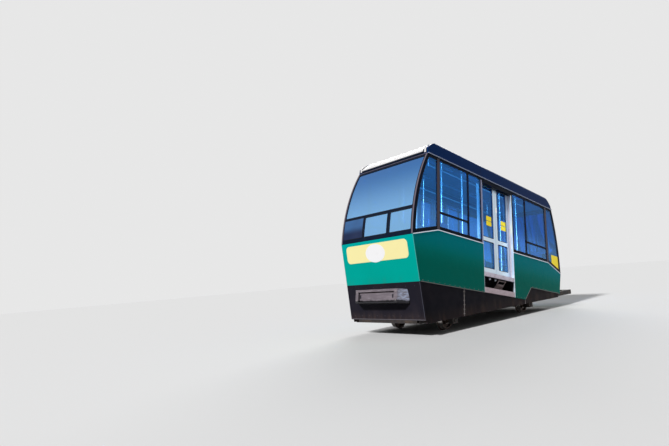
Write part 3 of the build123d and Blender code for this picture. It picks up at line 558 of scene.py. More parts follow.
class Shape:
    """Closed solids gathered into one mesh."""

    def __init__(self):
        self.bm = bmesh.new()

    def hull(self, corners, faces):
        """Adds one solid from its corners and faces."""
        verts = [self.bm.verts.new(c) for c in corners]
        for face in faces:
            self.bm.faces.new([verts[i] for i in face])

    def box(self, x, y, z):
        """Adds a box between pairs of x, y and z."""
        corners = [(a, b, c) for a in x for b in y for c in z]
        self.hull(corners, BOX_FACES)

    def loft(self, rings):
        """Adds a solid through rings of equally many points, closed at both ends."""
        count = len(rings[0])
        corners = [p for ring in rings for p in ring]
        faces = [tuple(range(count)), tuple(len(corners) - count + i for i in range(count))]
        for first in range(0, len(corners) - count, count):
            for i in range(count):
                a, b = first + i, first + (i + 1) % count
                faces.append((a, b, b + count, a + count))
        self.hull(corners, faces)

    def rod(self, start, end, radius, end_radius=None, count=16):
        """Adds a round bar or cone frustum from start to end."""
        start, end = Vector(start), Vector(end)
        along = (end - start).normalized()
        side = along.orthogonal().normalized()
        other = along.cross(side)
        rings = []
        for point, r in ((start, radius), (end, radius if end_radius is None else end_radius)):
            turns = [2 * pi * i / count for i in range(count)]
            rings.append([point + r * (cos(turn) * side + sin(turn) * other) for turn in turns])
        self.loft(rings)

    def ball(self, middle, radius, stretch=(1, 1, 1)):
        """Adds a rounded knob."""
        size = Matrix.Diagonal((*[radius * s for s in stretch], 1))
        bmesh.ops.create_uvsphere(self.bm, u_segments=20, v_segments=12, radius=1,
                                  matrix=Matrix.Translation(middle) @ size)

    def piece(self, name, material, slot, body="car", bevel=0.0, level=True):
        """Finishes the mesh as a piece that rides on a body, from level sizes unless level is off."""
        bmesh.ops.remove_doubles(self.bm, verts=self.bm.verts, dist=0.00001)
        bmesh.ops.recalc_face_normals(self.bm, faces=self.bm.faces)
        finished(as_mesh(self.bm, name, level), name, material, body, bevel)


def linked(name, data):
    """Object in the scene for a mesh, camera or lamp."""
    thing = bpy.data.objects.new(name, data)
    bpy.context.scene.collection.objects.link(thing)
    return thing


def as_mesh(bm, name, level):
    """Mesh of that name from a bmesh, turned with the track's slope if it is level."""
    mesh = bpy.data.meshes.new(name)
    bm.to_mesh(mesh)
    bm.free()
    if level:
        mesh.transform(LEVEL)
    return mesh


def finished(mesh, name, material, body, bevel=0.0, smooth=35):
    """Makes a mesh a piece: material, shading, bevel and body."""
    piece = linked(name, mesh)
    if material:
        mesh.materials.clear()
        mesh.materials.append(material)
    mesh.shade_smooth()
    mesh.set_sharp_from_angle(angle=radians(smooth))
    if bevel:
        edge = piece.modifiers.new("edges", "BEVEL")
        edge.width = bevel
        edge.segments = 2
        edge.limit_method = "ANGLE"
        edge.angle_limit = radians(smooth)
        edge.harden_normals = True
    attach(piece, body)
    return piece


def dressed(node, material, body="car", bevel=0.003):
    """Copy of a CAD node with merged faces and softened edges, which stands for it."""
    bm = bmesh.new()
    bm.from_mesh(frame["nodes"][node].data)
    bmesh.ops.remove_doubles(bm, verts=bm.verts, dist=0.00001)
    bmesh.ops.dissolve_limit(bm, angle_limit=radians(0.5), verts=bm.verts, edges=bm.edges)
    name = f"{node}_finished"
    piece = finished(as_mesh(bm, name, level=False), name, material, body, bevel, smooth=30)
    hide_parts(node)


def coated(node, material):
    """Gives a CAD node that stays its finish."""
    slots = frame["nodes"][node].data.materials
    slots.clear()
    slots.append(material)


# Geometry Nodes trees

def new_tree(name, **kinds):
    """Empty geometry tree and the outputs of its named inputs, each given with its kind of socket."""
    tree = bpy.data.node_groups.new(name, "GeometryNodeTree")
    for label, kind in {"Geometry": "Geometry", **kinds, "Material": "Material"}.items():
        tree.interface.new_socket(label, in_out="INPUT", socket_type=f"NodeSocket{kind}")
    tree.interface.new_socket("Geometry", in_out="OUTPUT", socket_type="NodeSocketGeometry")
    return tree, add_node(tree, "NodeGroupInput").outputs


def close_tree(tree, geometry, given):
    """Ends a tree in Realize Instances and Set Material, and returns it."""
    realize = add_node(tree, "GeometryNodeRealizeInstances", {"Geometry": geometry})
    paint = add_node(tree, "GeometryNodeSetMaterial", {
        "Geometry": realize.outputs["Geometry"], "Material": given["Material"]})
    add_node(tree, "NodeGroupOutput", {"Geometry": paint.outputs["Geometry"]})
    return tree


def face_out(tree):
    """The direction that each point of a path carries."""
    return add_node(tree, "GeometryNodeInputNamedAttribute", {"Name": "face_out"},
                    data_type="FLOAT_VECTOR").outputs["Attribute"]


def strip_tree():
    """Sweeps a flat section along edges, its broad face towards the attribute face_out."""
    tree, given = new_tree("gasket strip", Width="Float", Height="Float", Corner="Float")
    curve = add_node(tree, "GeometryNodeMeshToCurve", {"Mesh": given["Geometry"]})
    fillet = add_node(tree, "GeometryNodeFilletCurve", {
        "Curve": curve.outputs["Curve"], "Radius": given["Corner"], "Count": 4,
        "Limit Radius": True}, mode="POLY")
    normal = add_node(tree, "GeometryNodeSetCurveNormal", {
        "Curve": fillet.outputs["Curve"], "Normal": face_out(tree)}, mode="FREE")
    section = add_node(tree, "GeometryNodeCurvePrimitiveQuadrilateral", {
        "Width": given["Height"], "Height": given["Width"]})
    sweep = add_node(tree, "GeometryNodeCurveToMesh", {
        "Curve": normal.outputs["Curve"], "Profile Curve": section.outputs["Curve"], "Fill Caps": True})
    return close_tree(tree, sweep.outputs["Mesh"], given)


def screw_tree():
    """Sets a low domed head on each point, turned towards the attribute face_out."""
    tree, given = new_tree("screw heads", Radius="Float", Height="Float")
    top = add_node(tree, "ShaderNodeMath", {0: given["Radius"], 1: 0.6}, operation="MULTIPLY")
    head = add_node(tree, "GeometryNodeMeshCone", {
        "Vertices": 10, "Side Segments": 1, "Radius Bottom": given["Radius"],
        "Radius Top": top.outputs["Value"], "Depth": given["Height"]})
    points = add_node(tree, "GeometryNodeMeshToPoints", {"Mesh": given["Geometry"]})
    turn = add_node(tree, "FunctionNodeAlignRotationToVector", {"Vector": face_out(tree)}, axis="Z")
    place = add_node(tree, "GeometryNodeInstanceOnPoints", {
        "Points": points.outputs["Points"], "Instance": head.outputs["Mesh"],
        "Rotation": turn.outputs["Rotation"]})
    return close_tree(tree, place.outputs["Instances"], given)


def row_tree():
    """Repeats a bar of a given size from a start, at a fixed step."""
    tree, given = new_tree("row of bars", Start="Vector", Step="Vector", Count="Int", Size="Vector",
                           Turn="Vector")
    line = add_node(tree, "GeometryNodeMeshLine", {
        "Count": given["Count"], "Start Location": given["Start"], "Offset": given["Step"]})
    bar = add_node(tree, "GeometryNodeMeshCube", {"Size": given["Size"]})
    turn = add_node(tree, "FunctionNodeEulerToRotation", {"Euler": given["Turn"]})
    place = add_node(tree, "GeometryNodeInstanceOnPoints", {
        "Points": line.outputs["Mesh"], "Instance": bar.outputs["Mesh"],
        "Rotation": turn.outputs["Rotation"]})
    join = add_node(tree, "GeometryNodeJoinGeometry")
    for part in (given["Geometry"], place.outputs["Instances"]):
        tree.links.new(part, join.inputs["Geometry"])
    return close_tree(tree, join.outputs["Geometry"], given)


STRIP_TREE = strip_tree()
SCREW_TREE = screw_tree()
ROW_TREE = row_tree()


def grown(source, tree, values):
    """Runs a tree on a mesh and returns the plain mesh that comes out."""
    holder = linked("holder", source)
    modifier = holder.modifiers.new("grow", "NODES")
    modifier.node_group = tree
    for item in tree.interface.items_tree:
        if item.item_type == "SOCKET" and item.in_out == "INPUT" and item.name in values:
            modifier[item.identifier] = values[item.name]
    seen = holder.evaluated_get(bpy.context.evaluated_depsgraph_get())
    mesh = bpy.data.meshes.new_from_object(seen)
    bpy.data.objects.remove(holder)
    return mesh


def grown_piece(mesh, name, body="car", level=True):
    """Makes a grown mesh a piece, from level sizes unless level is off."""
    if level:
        mesh.transform(LEVEL)
    mesh.name = name
    finished(mesh, name, None, body)


def path_mesh(paths, closed=False):
    """Edges along paths of (point, outward direction) pairs."""
    points, edges, outward = [], [], []
    for path in paths:
        first, count = len(points), len(path)
        for point, direction in path:
            points.append(point)
            outward.append(direction)
        for i in range(count if closed else count - 1):
            edges.append((first + i, first + (i + 1) % count))
    mesh = bpy.data.meshes.new("paths")
    mesh.from_pydata(points, edges, [])
    attribute = mesh.attributes.new("face_out", "FLOAT_VECTOR", "POINT")
    attribute.data.foreach_set("vector", [c for direction in outward for c in direction])
    return mesh


def strips(name, paths, width, height, material, body="car", corner=0.012, closed=False):
    """A piece of flat strips along paths."""
    values = {"Width": width, "Height": height, "Corner": corner, "Material": material}
    grown_piece(grown(path_mesh(paths, closed), STRIP_TREE, values), name, body)


def screws(name, spots, radius, height, material, body="car", level=True):
    """A piece of screw heads on spots of (point, outward direction)."""
    values = {"Radius": radius, "Height": height, "Material": material}
    grown_piece(grown(path_mesh([[spot] for spot in spots]), SCREW_TREE, values), name, body, level)


def rows(name, runs, material):
    """A piece of repeated bars, from runs of (start, step, count, size, turn)."""
    mesh = bpy.data.meshes.new("empty")
    for run in runs:
        values = dict(zip(("Start", "Step", "Count", "Size", "Turn"), run), Material=material)
        mesh = grown(mesh, ROW_TREE, values)
    grown_piece(mesh, name)


# Surfaces of the car that pieces are set on

def end_run(z, end):
    """How far an end wall has moved in from its belt corner at height z."""
    if z < CORNER_Z:
        return UNDERCUT * (CORNER_Z - z)
    rise, rake = EAVE_Z - CORNER_Z, RAKE[end]
    radius = (rise ** 2 + rake ** 2) / (2 * rake)
    return radius - sqrt(radius ** 2 - (z - CORNER_Z) ** 2)


def at_end(end, point, direction):
    """Point and direction of the lower end, or their mirror image at the upper end."""
    if end == "rear":
        point.x = CAR_LENGTH - point.x
        direction.x = -direction.x
    return point, direction


def on_end(end, y, z, out=0.0):
    """Point on an end wall, moved outwards, and the outward direction."""
    small = 0.001
    lean = (end_run(z + small, end) - end_run(z - small, end)) / (2 * small)
    direction = Vector((-1, 0, lean)).normalized()
    return at_end(end, Vector((end_run(z, end), y, z)) + direction * out, direction)


def on_side(side, x, z, out=0.0):
    """Point on a side wall, moved outwards, and the outward direction."""
    return Vector((x, side * (HALF + out), z)), Vector((0, side, 0))


def belt_z(x):
    """Height of the belt line, which falls towards both ends."""
    part = min(x / KINK_RUN["front"], (CAR_LENGTH - x) / KINK_RUN["rear"])
    return min(0.0, CORNER_Z * (1 - part))


def corner_sill_z(end, run):
    """Height of the sill of a corner window, so far in from its end."""
    return CORNER_Z + CORNER_SILL - CORNER_Z / KINK_RUN[end] * run


def steps_between(a, b, count):
    """Evenly spaced values from a to b."""
    return [a + (b - a) * i / count for i in range(count + 1)]


def end_loop(end, y, z):
    """Closed path round a rectangle on an end wall."""
    if end == "rear":
        y = (-y[1], -y[0])
    rising = [on_end(end, y[0], h) for h in steps_between(z[0], z[1], 12)]
    falling = [on_end(end, y[1], h) for h in steps_between(z[1], z[0], 12)]
    return rising + falling


def rectangle(a, b):
    """Corner points of a rectangle between two pairs."""
    return (a[0], b[0]), (a[1], b[0]), (a[1], b[1]), (a[0], b[1])


def corner_loop(side, end, inset):
    """Closed path round the window in the corner of a side."""
    head = WINDOW_Z[1] + inset
    edge = END_WALL + CORNER_STILE - inset
    pillar = (B_PILLAR_X[0] if end == "front" else CAR_LENGTH - C_PILLAR_X[1]) + inset
    points = [(edge + end_run(z, end), z) for z in steps_between(head, corner_sill_z(end, edge) - inset, 12)]
    points += [(pillar, corner_sill_z(end, pillar) - inset), (pillar, head)]
    return [on_side(side, x if end == "front" else CAR_LENGTH - x, z) for x, z in points]


def rounded(a, b, radius):
    """Corner points of a rounded rectangle between two pairs."""
    count = 5
    points = []
    for x, z, quarter in ((a[1], b[1], 0), (a[0], b[1], 1), (a[0], b[0], 2), (a[1], b[0], 3)):
        mx = x - radius if quarter in (0, 3) else x + radius
        mz = z - radius if quarter in (0, 1) else z + radius
        for i in range(count + 1):
            turn = pi / 2 * (quarter + i / count)
            points.append((mx + radius * cos(turn), mz + radius * sin(turn)))
    return points


def ellipse(middle, half_a, half_b, count=56):
    """Points round an ellipse."""
    turns = [2 * pi * i / count for i in range(count)]
    return [(middle[0] + half_a * cos(t), middle[1] + half_b * sin(t)) for t in turns]


def end_badge(shape, end, outline, out):
    """Flat plate with an outline of (y, z) on an end wall, between two distances out."""
    shape.loft([[on_end(end, y, z, far)[0] for y, z in outline] for far in out])


def end_band(shape, end, y, z, out):
    """Curved plate on an end wall that follows its rake."""
    section = rectangle(y, out)
    shape.loft([[on_end(end, a, h, far)[0] for a, far in section] for h in steps_between(z[0], z[1], 12)])


def side_badge(shape, side, outline, y):
    """Flat plate with an outline of (x, z) beside the car, between two distances y."""
    shape.loft([[(x, side * far, z) for x, z in outline] for far in y])


def rail_z(x, height):
    """Level z of the point at level x that lies so high over the foot of the wheel flanges."""
    return (height - ORIGIN_Z + x * sin(SLOPE)) / cos(SLOPE)


def roof_rise(run, end):
    """Height of the roof's end profile so far in from its lip, and its outward direction."""
    # A circle through the lip's knee, b and the end of the run, c, with its middle at m
    cx, cz = ROOF_END_RUN[end], ROOF_TOP_Z - LIP_KNEE_Z
    bx, bz = cx * ROOF_END_MID[end][0], cz * ROOF_END_MID[end][1]
    twice = 2 * (bx * cz - cx * bz)
    mx = (cz * (bx ** 2 + bz ** 2) - bz * (cx ** 2 + cz ** 2)) / twice
    mz = (bx * (cx ** 2 + cz ** 2) - cx * (bx ** 2 + bz ** 2)) / twice
    z = mz + sqrt(mx ** 2 + mz ** 2 - (run - mx) ** 2)
    return LIP_KNEE_Z + z, Vector((run - mx, 0, z - mz)).normalized()


def on_roof_end(end, run, y, out):
    """Point on the roof's rounded end, and its outward direction."""
    z, direction = roof_rise(run, end)
    return at_end(end, Vector((RAKE[end] - LIP_PROUD + run, y, z)) + direction * out, direction)


def crown_z(y):
    """Height of the roof's crowned top at a distance from its middle."""
    sag = ROOF_TOP_Z - SHOULDER_TOP_Z
    radius = (SHOULDER_Y ** 2 + sag ** 2) / (2 * sag)
    return ROOF_TOP_Z - radius + sqrt(radius ** 2 - y ** 2)


def on_crown(x, y, out):
    """Point over the roof's crowned top, and the outward direction."""
    return Vector((x, y, crown_z(y) + out)), Vector((0, 0, 1))


def on_cant(side, x, z, out=0.0):
    """Point on the slanting navy band of the roof, and its outward direction."""
    y = HALF - CANT_LEAN * (z - CANT_FOOT_Z) + out
    return Vector((x, side * y, z)), Vector((0, side, CANT_LEAN)).normalized()


# Pieces: CAD nodes with their finishes

def body_shell():
    """The big shells, and what is round the doorways."""
    for node in ("side_panels_front", "side_panels_rear", "end_panel_front", "end_panel_rear"):
        dressed(node, GREEN)
    for node in ("window_frames_front", "window_frames_rear", "end_frame_front", "end_frame_rear",
                 "door_headers"):
        dressed(node, FRAME_BLACK, bevel=0.002)
    for node in ("apron_front", "skirts", "step_wells"):
        dressed(node, LOWER_BLACK, bevel=0.002)
    for node in ("roof_skin", "roof_caps"):
        dressed(node, WHITE_ROOF)
    dressed("cant_panels", NAVY)
    dressed("drip_rails", DRIP, bevel=0.005)
    dressed("bumper", BUMPER, bevel=0.004)
    dressed("steps", STEP, bevel=0.002)
    for node in ("door_sills", "step_bars"):
        dressed(node, SILL)
    dressed("door_jambs", ALUMINIUM, bevel=0.002)


def running_gear():
    """The chassis, axles and wheels."""
    for node in ("frame_beams", "cross_members", "body_posts", "axle_boxes", "rope_anchor"):
        dressed(node, CHASSIS)
    for end in ENDS:
        for node in (f"wheels_{end}", f"axle_{end}"):
            dressed(node, WHEEL, f"wheelset_{end}")


def doors():
    """The door leaves with their glass."""
    for _, _, tag in LEAVES:
        dressed(f"door_{tag}", ALUMINIUM, f"leaf_{tag}")
        coated(f"door_glass_{tag}", GLASS)


def inside():
    """What stands in the cabin."""
    dressed("stanchions", POLE, bevel=0)
    dressed("benches", BENCH, bevel=0.008)
    dressed("driver_desks", DESK, bevel=0.006)


def plain_nodes():
    """CAD nodes that stay as they are, with a finish."""
    coated("door_tracks", ALUMINIUM)
    coated("side_glass", GLASS)
    coated("end_glass", SCREEN_GLASS)
    coated("floor", FLOOR)


body_shell()
running_gear()
doors()
inside()
plain_nodes()


# Pieces: trims and gaskets

def window_gaskets():
    """Rubber round every pane of the sides."""
    width = 0.022
    edge = width / 2 - GASKET_LAP
    whole = [WINDOW_Z]
    barred = [(WINDOW_Z[0], SIDE_BAR_Z[0]), (SIDE_BAR_Z[1], WINDOW_Z[1])]
    panes = (
        (B_PILLAR_X[1], FRONT_DIVIDER_X[0], barred), (FRONT_DIVIDER_X[1], DOOR_X[0] - FRONT_POST, whole),
        (DOOR_X[1] + REAR_POST, REAR_DIVIDER_X[0], whole), (REAR_DIVIDER_X[1], C_PILLAR_X[0], barred))
    paths = []
    for side in SIDES:
        for left, right, heights in panes:
            for low, high in heights:
                around = rectangle((left - edge, right + edge), (low - edge, high + edge))
                paths.append([on_side(side, x, z) for x, z in around])
        paths += [corner_loop(side, end, edge) for end in ENDS]
    strips("side_gaskets", paths, width, GASKET_HEIGHT, RUBBER, corner=0.03, closed=True)


def screen_gaskets():
    """Rubber round the panes of both ends."""
    width = 0.020
    edge = width / 2 - GASKET_LAP
    paths = []
    for end in ENDS:
        for y, z in (((-SCREEN_EDGE_Y, SCREEN_EDGE_Y), SCREEN_Z),
                     ((-SCREEN_EDGE_Y, NEAR_PANE_Y), LOW_PANE_Z), (MIDDLE_PANE_Y, LOW_PANE_Z)):
            paths.append(end_loop(end, (y[0] - edge, y[1] + edge), (z[0] - edge, z[1] + edge)))
    strips("screen_gaskets", paths, width, GASKET_HEIGHT, RUBBER, corner=0.025, closed=True)


def belt_trims():
    """Pale strip along the belt line of both sides."""
    front = (0.004, KINK_RUN["front"], DOOR_X[0])
    rear = (DOOR_X[1], CAR_LENGTH - KINK_RUN["rear"], CAR_LENGTH - 0.004)
    paths = [[on_side(side, x, belt_z(x), 0.002) for x in run] for side in SIDES for run in (front, rear)]
    strips("belt_trims", paths, 0.017, 0.009, TRIM, corner=0.3)


def pillar_covers():
    """Brown-grey covers of the pillars on the sides and of the stiles on the ends."""
    paths = []
    for side in SIDES:
        for x in (sum(B_PILLAR_X) / 2, sum(C_PILLAR_X) / 2):
            paths.append([on_side(side, x, z, PROUD) for z in (belt_z(x) + 0.02, WINDOW_Z[1] + 0.03)])
    strips("pillar_covers", paths, B_PILLAR_X[1] - B_PILLAR_X[0] - 0.006, 0.008, PILLAR)
    width = 1 - SCREEN_EDGE_Y - 0.020
    heights = steps_between(CORNER_Z + 0.01, EAVE_Z - 0.005, 16)
    paths = []
    for end in ENDS:
        for side in SIDES:
            y = side * (HALF - width / 2 - 0.003)
            paths.append([on_end(end, y, z, PROUD) for z in heights])
    strips("stile_covers", paths, width, 0.008, PILLAR)


window_gaskets()
screen_gaskets()
belt_trims()
pillar_covers()


# Pieces: the ends

def end_signs():
    """Cream panel with a blank oval on the lower end."""
    cream, oval = Shape(), Shape()
    end_badge(cream, "front", rounded(PANEL_Y, PANEL_Z, PANEL_CORNER), (-0.002, 0.003))
    cream.piece("cream_panel_front", CREAM, "green_paint", bevel=0.001)
    end_badge(oval, "front", ellipse(OVAL_MIDDLE, *OVAL_HALF), (0.001, 0.0045))
    oval.piece("blank_oval_front", WHITE, "roof_white", bevel=0.0008)


def blind_panes():
    """Dark glass beside the lower panes of both ends."""
    shape = Shape()
    grow = 0.006
    frames = []
    for end in ENDS:
        y = DARK_PANE_Y if end == "front" else (-DARK_PANE_Y[1], -DARK_PANE_Y[0])
        end_band(shape, end, y, LOW_PANE_Z, (-0.002, 0.003))
        frames.append(end_loop(end, (DARK_PANE_Y[0] - grow, DARK_PANE_Y[1] + grow),
                               (LOW_PANE_Z[0] - grow, LOW_PANE_Z[1] + grow)))
    shape.piece("blind_panes", BLACK_GLASS, "dark_frame", bevel=0.001)
    strips("blind_pane_gaskets", frames, 0.018, GASKET_HEIGHT, RUBBER, corner=0.02, closed=True)


def corner_panels():
    """Yellow sheet on the foot of the corner panes by the upper end."""
    edge = END_WALL + CORNER_STILE + 0.012
    outline = [(CAR_LENGTH - run, corner_sill_z("rear", run) + 0.003) for run in (YELLOW_RUN, edge)]
    for z in steps_between(outline[1][1] + 0.02, YELLOW_TOP_Z, 6):
        outline.append((CAR_LENGTH - edge - end_run(z, "rear"), z))
    outline.append((outline[0][0], YELLOW_TOP_Z))
    shape = Shape()
    for side in SIDES:
        side_badge(shape, side, outline, (HALF - 0.0085, HALF - 0.0065))
    shape.piece("yellow_corner_panels", YELLOW, "desk_plastic")


def header_strips():
    """Thin brown frame strip over each windscreen, paler than the black frame as a painted highlight under
    the roof lip.
    """
    paths = [[on_end(end, y, EAVE_Z - 0.012, 0.002) for y in (-0.97, 0.97)] for end in ENDS]
    strips("header_strips", paths, 0.014, 0.012, PILLAR)


def roof_corners():
    """Dark groove and white fold up each corner of the roof's ends, over a dark end face; the groove's black
    is painted shade in the gap between roof and band, and the fold's white is a painted highlight on the
    band's front edge.
    """
    for name, y, out, reach, width, height, material, slot in (
            # Painted shade in the groove, and a painted highlight on the band's front edge
            ("roof_groove_shades", 0.8965, 0.002, 0.190, 0.021, 0.010, RUBBER, "dark_frame"),
            ("roof_fold_highlights", 0.9310, 0.003, 0.105, 0.042, 0.012, WHITE_ROOF, "roof_white")):
        paths = []
        for end in ENDS:
            for side in SIDES:
                runs = steps_between(LIP_PROUD + 0.002, reach, 8)
                path = [on_roof_end(end, run, side * y, out) for run in runs]
                foot = path[0][0].copy()
                foot.z = EAVE_Z + 0.030
                paths.append([(foot, Vector((-1 if end == "front" else 1, 0, 0)))] + path)
        strips(name, paths, width, height, material, corner=0.02)
    faces = Shape()
    for end in ENDS:
        top = roof_rise(LIP_PROUD, end)[0] - 0.004
        x = [RAKE[end] - 0.0015, RAKE[end] + 0.001]
        if end == "rear":
            x = [CAR_LENGTH - a for a in x]
        for side in SIDES:
            faces.box(x, (side * (CANT_INNER_Y + 0.001), side * (HALF - 0.018)), (EAVE_Z + 0.012, top))
    faces.piece("roof_end_faces", FRAME_BLACK, "dark_frame")


def apron_trims():
    """Raised panel, foot strip, corner strips and screws of the lower apron."""
    panel = Shape()
    end_badge(panel, "front", rounded((-APRON_PANEL_Y, APRON_PANEL_Y), APRON_PANEL_Z, 0.02), (-0.002, 0.003))
    panel.piece("apron_panel", LOWER_BLACK, "black_paint", bevel=0.0015)
    foot = [on_end("front", y, APRON_FOOT_Z + 0.011, 0.002) for y in (-HALF, HALF)]
    strips("apron_foot_trim", [foot], 0.013, 0.008, APRON_TRIM)
    heights = (APRON_FOOT_Z + 0.03, GREEN_FOOT_Z - 0.01)
    edges = [[on_end("front", side * (HALF - 0.007), z, 0.002) for z in heights] for side in SIDES]
    strips("apron_corners", edges, 0.007, 0.006, APRON_CORNER)
    spots = [on_end("front", y, z, 0.0035) for y in steps_between(-0.86, 0.86, 8)
             for z in (APRON_PANEL_Z[0] + 0.03, APRON_PANEL_Z[1] - 0.03)]
    screws("apron_screws", spots, 0.006, 0.004, APRON_CORNER)


def corner_highlight_beads():
    """Fine bead down the corners of the green end panels, pale green as a painted highlight on the corner
    edge.
    """
    paths = []
    for end, foot in (("front", GREEN_FOOT_Z), ("rear", REAR_FOOT_Z)):
        for side in SIDES:
            y = side * (HALF - 0.004)
            paths.append([on_end(end, y, z, 0.0015) for z in (foot + 0.005, CORNER_Z - 0.005)])
    strips("corner_highlight_beads", paths, 0.006, 0.005, CORNER_HIGHLIGHT_GREEN)


def bumper_marks():
    """Slots and screws on the bumper; the slots are dark boxes that stand for the painted shade in the holes.
    """
    front_x = UNDERCUT * (CORNER_Z - sum(BUMPER_Z) / 2) - BUMPER_PROUD
    plate_x = front_x + BUMPER_PLATE_RECESS
    slots = Shape()
    spots = []
    for side in SIDES:
        # Painted shade: a black box stands for the shade inside each slot
        slots.box((plate_x - 0.0025, plate_x + 0.004), (side * SLOT_Y[0], side * SLOT_Y[1]), SLOT_Z)
        for z in (BUMPER_Z[0] + 0.05, BUMPER_Z[1] - 0.05):
            point = Vector((front_x - PROUD, side * (BUMPER_FRONT_WIDTH / 2 - 0.039), z))
            spots.append((point, Vector((-1, 0, 0))))
    slots.piece("bumper_slot_shades", RUBBER, "bumper_grey", bevel=0.001)
    screws("bumper_screws", spots, 0.011, 0.006, BRIGHT)


end_signs()
blind_panes()
corner_panels()
header_strips()
roof_corners()
apron_trims()
corner_highlight_beads()
bumper_marks()


# Pieces: the sides

def side_strips():
    """Strips along the skirts and the green panels' feet of both sides."""
    skirt = -SKIRT_INSET + PROUD
    notch = ((NOTCH_TIP_X, GREEN_FOOT_Z), (NOTCH_TOP_X, REAR_FOOT_Z), (CAR_LENGTH - 0.20, REAR_FOOT_Z))
    front_foot = [(x, GREEN_FOOT_Z) for x in (0.24, DOOR_X[0] - 0.004)]
    seams, feet = [], []
    for side in SIDES:
        for x, out in ((SKIRT_SEAM_X, skirt), (NOTCH_TIP_X, skirt + 0.002)):
            heights = (rail_z(x, SKIRT_FOOT) + 0.002, GREEN_FOOT_Z - 0.002)
            seams.append([on_side(side, x, z, out) for z in heights])
        for line in (notch, front_foot):
            feet.append([on_side(side, x, z + 0.006, PROUD) for x, z in line])
    strips("skirt_seams", seams, 0.016, 0.006, DUSTY_TRIM)
    strips("foot_edges", feet, 0.012, 0.006, DUSTY_TRIM)


def doorway_trims():
    """Post covers and reveal covers of both doorways."""
    post_x = DOOR_X[0] - FRONT_POST / 2
    covers, reveals = [], []
    for side in SIDES:
        covers.append([on_side(side, post_x, z, PROUD) for z in (0.015, DOOR_HEAD_Z + 0.05)])
        for x, face in ((DOOR_X[0] + JAMB_WIDTH[0], 1), (DOOR_X[1] - JAMB_WIDTH[1], -1)):
            reveals.append([(Vector((x + face * 0.0005, side * REVEAL_Y, z)), Vector((face, 0, 0)))
                            for z in (STEP_BAR_Z[1] + 0.01, DOOR_HEAD_Z - 0.004)])
    strips("door_post_covers", covers, FRONT_POST - 0.012, 0.006, DOOR_POST)
    strips("reveal_covers", reveals, 0.044, 0.004, LILAC)


def side_screws():
    """Screws along the green panels' feet, skirt seams and sills."""
    inset, rise = 0.08, 0.035
    spots = []
    for side in SIDES:
        for first, last, count, z in ((0.30, DOOR_X[0] - inset, 12, GREEN_FOOT_Z + rise),
                                      (DOOR_X[1] + inset, NOTCH_TIP_X - 0.05, 2, GREEN_FOOT_Z + rise),
                                      (NOTCH_TOP_X + inset, CAR_LENGTH - 0.25, 8, REAR_FOOT_Z + rise),
                                      (DOOR_X[0] + inset, DOOR_X[1] - inset, 7, STEP_BAR_Z[0] + 0.058),
                                      (DOOR_X[0] + inset, DOOR_X[1] - inset, 7, SILL_Z[0] + 0.030)):
            spots += [on_side(side, x, z, PROUD) for x in steps_between(first, last, count)]
        for z in steps_between(rail_z(SKIRT_SEAM_X, SKIRT_FOOT) + 0.05, GREEN_FOOT_Z - 0.05, 5):
            spots += [on_side(side, SKIRT_SEAM_X + dx, z, -SKIRT_INSET + PROUD) for dx in (-0.022, 0.022)]
    screws("side_screws", spots, 0.006, 0.004, BRIGHT)


def step_fittings():
    """Brackets under the sill and slats on the step's tread."""
    brackets = Shape()
    runs = []
    for side in SIDES:
        for x in BRACKET_X:
            brackets.box((x - 0.022, x + 0.022), [side * y for y in BRACKET_Y], BRACKET_Z)
            brackets.box((x - 0.006, x + 0.006), [side * y for y in LUG_Y], LUG_Z)
        down = Vector((0, -side * sin(STEP_SWING), -cos(STEP_SWING)))
        face = Vector((0, side * cos(STEP_SWING), -sin(STEP_SWING)))
        hinge = Vector((STEP_MIDDLE_X, side * STEP_HINGE_Y, STEP_HINGE_Z))
        start = hinge + down * SLAT_START + face * SLAT_LIFT
        runs.append((start, down * SLAT_PITCH, SLAT_COUNT, SLAT_SIZE, (-side * STEP_SWING, 0, 0)))
    brackets.piece("sill_brackets", TRIM, "trim_metal", bevel=0.0015)
    rows("step_slats", runs, STEP)


side_strips()
doorway_trims()
side_screws()
step_fittings()


# Pieces: on the leaves

def leaf_edges(end):
    """Level x of a shut leaf's outer edge, meeting edge and pane."""
    if end == "front":
        left, right = DOOR_X[0] - LEAF_LAP, DOOR_MIDDLE - LEAF_GAP / 2
        return left, right, (left + OUTER_STILE[end], right - MEETING_STILE)
    left, right = DOOR_MIDDLE + LEAF_GAP / 2, DOOR_X[1] + LEAF_LAP
    return right, left, (left + MEETING_STILE, right - OUTER_STILE[end])


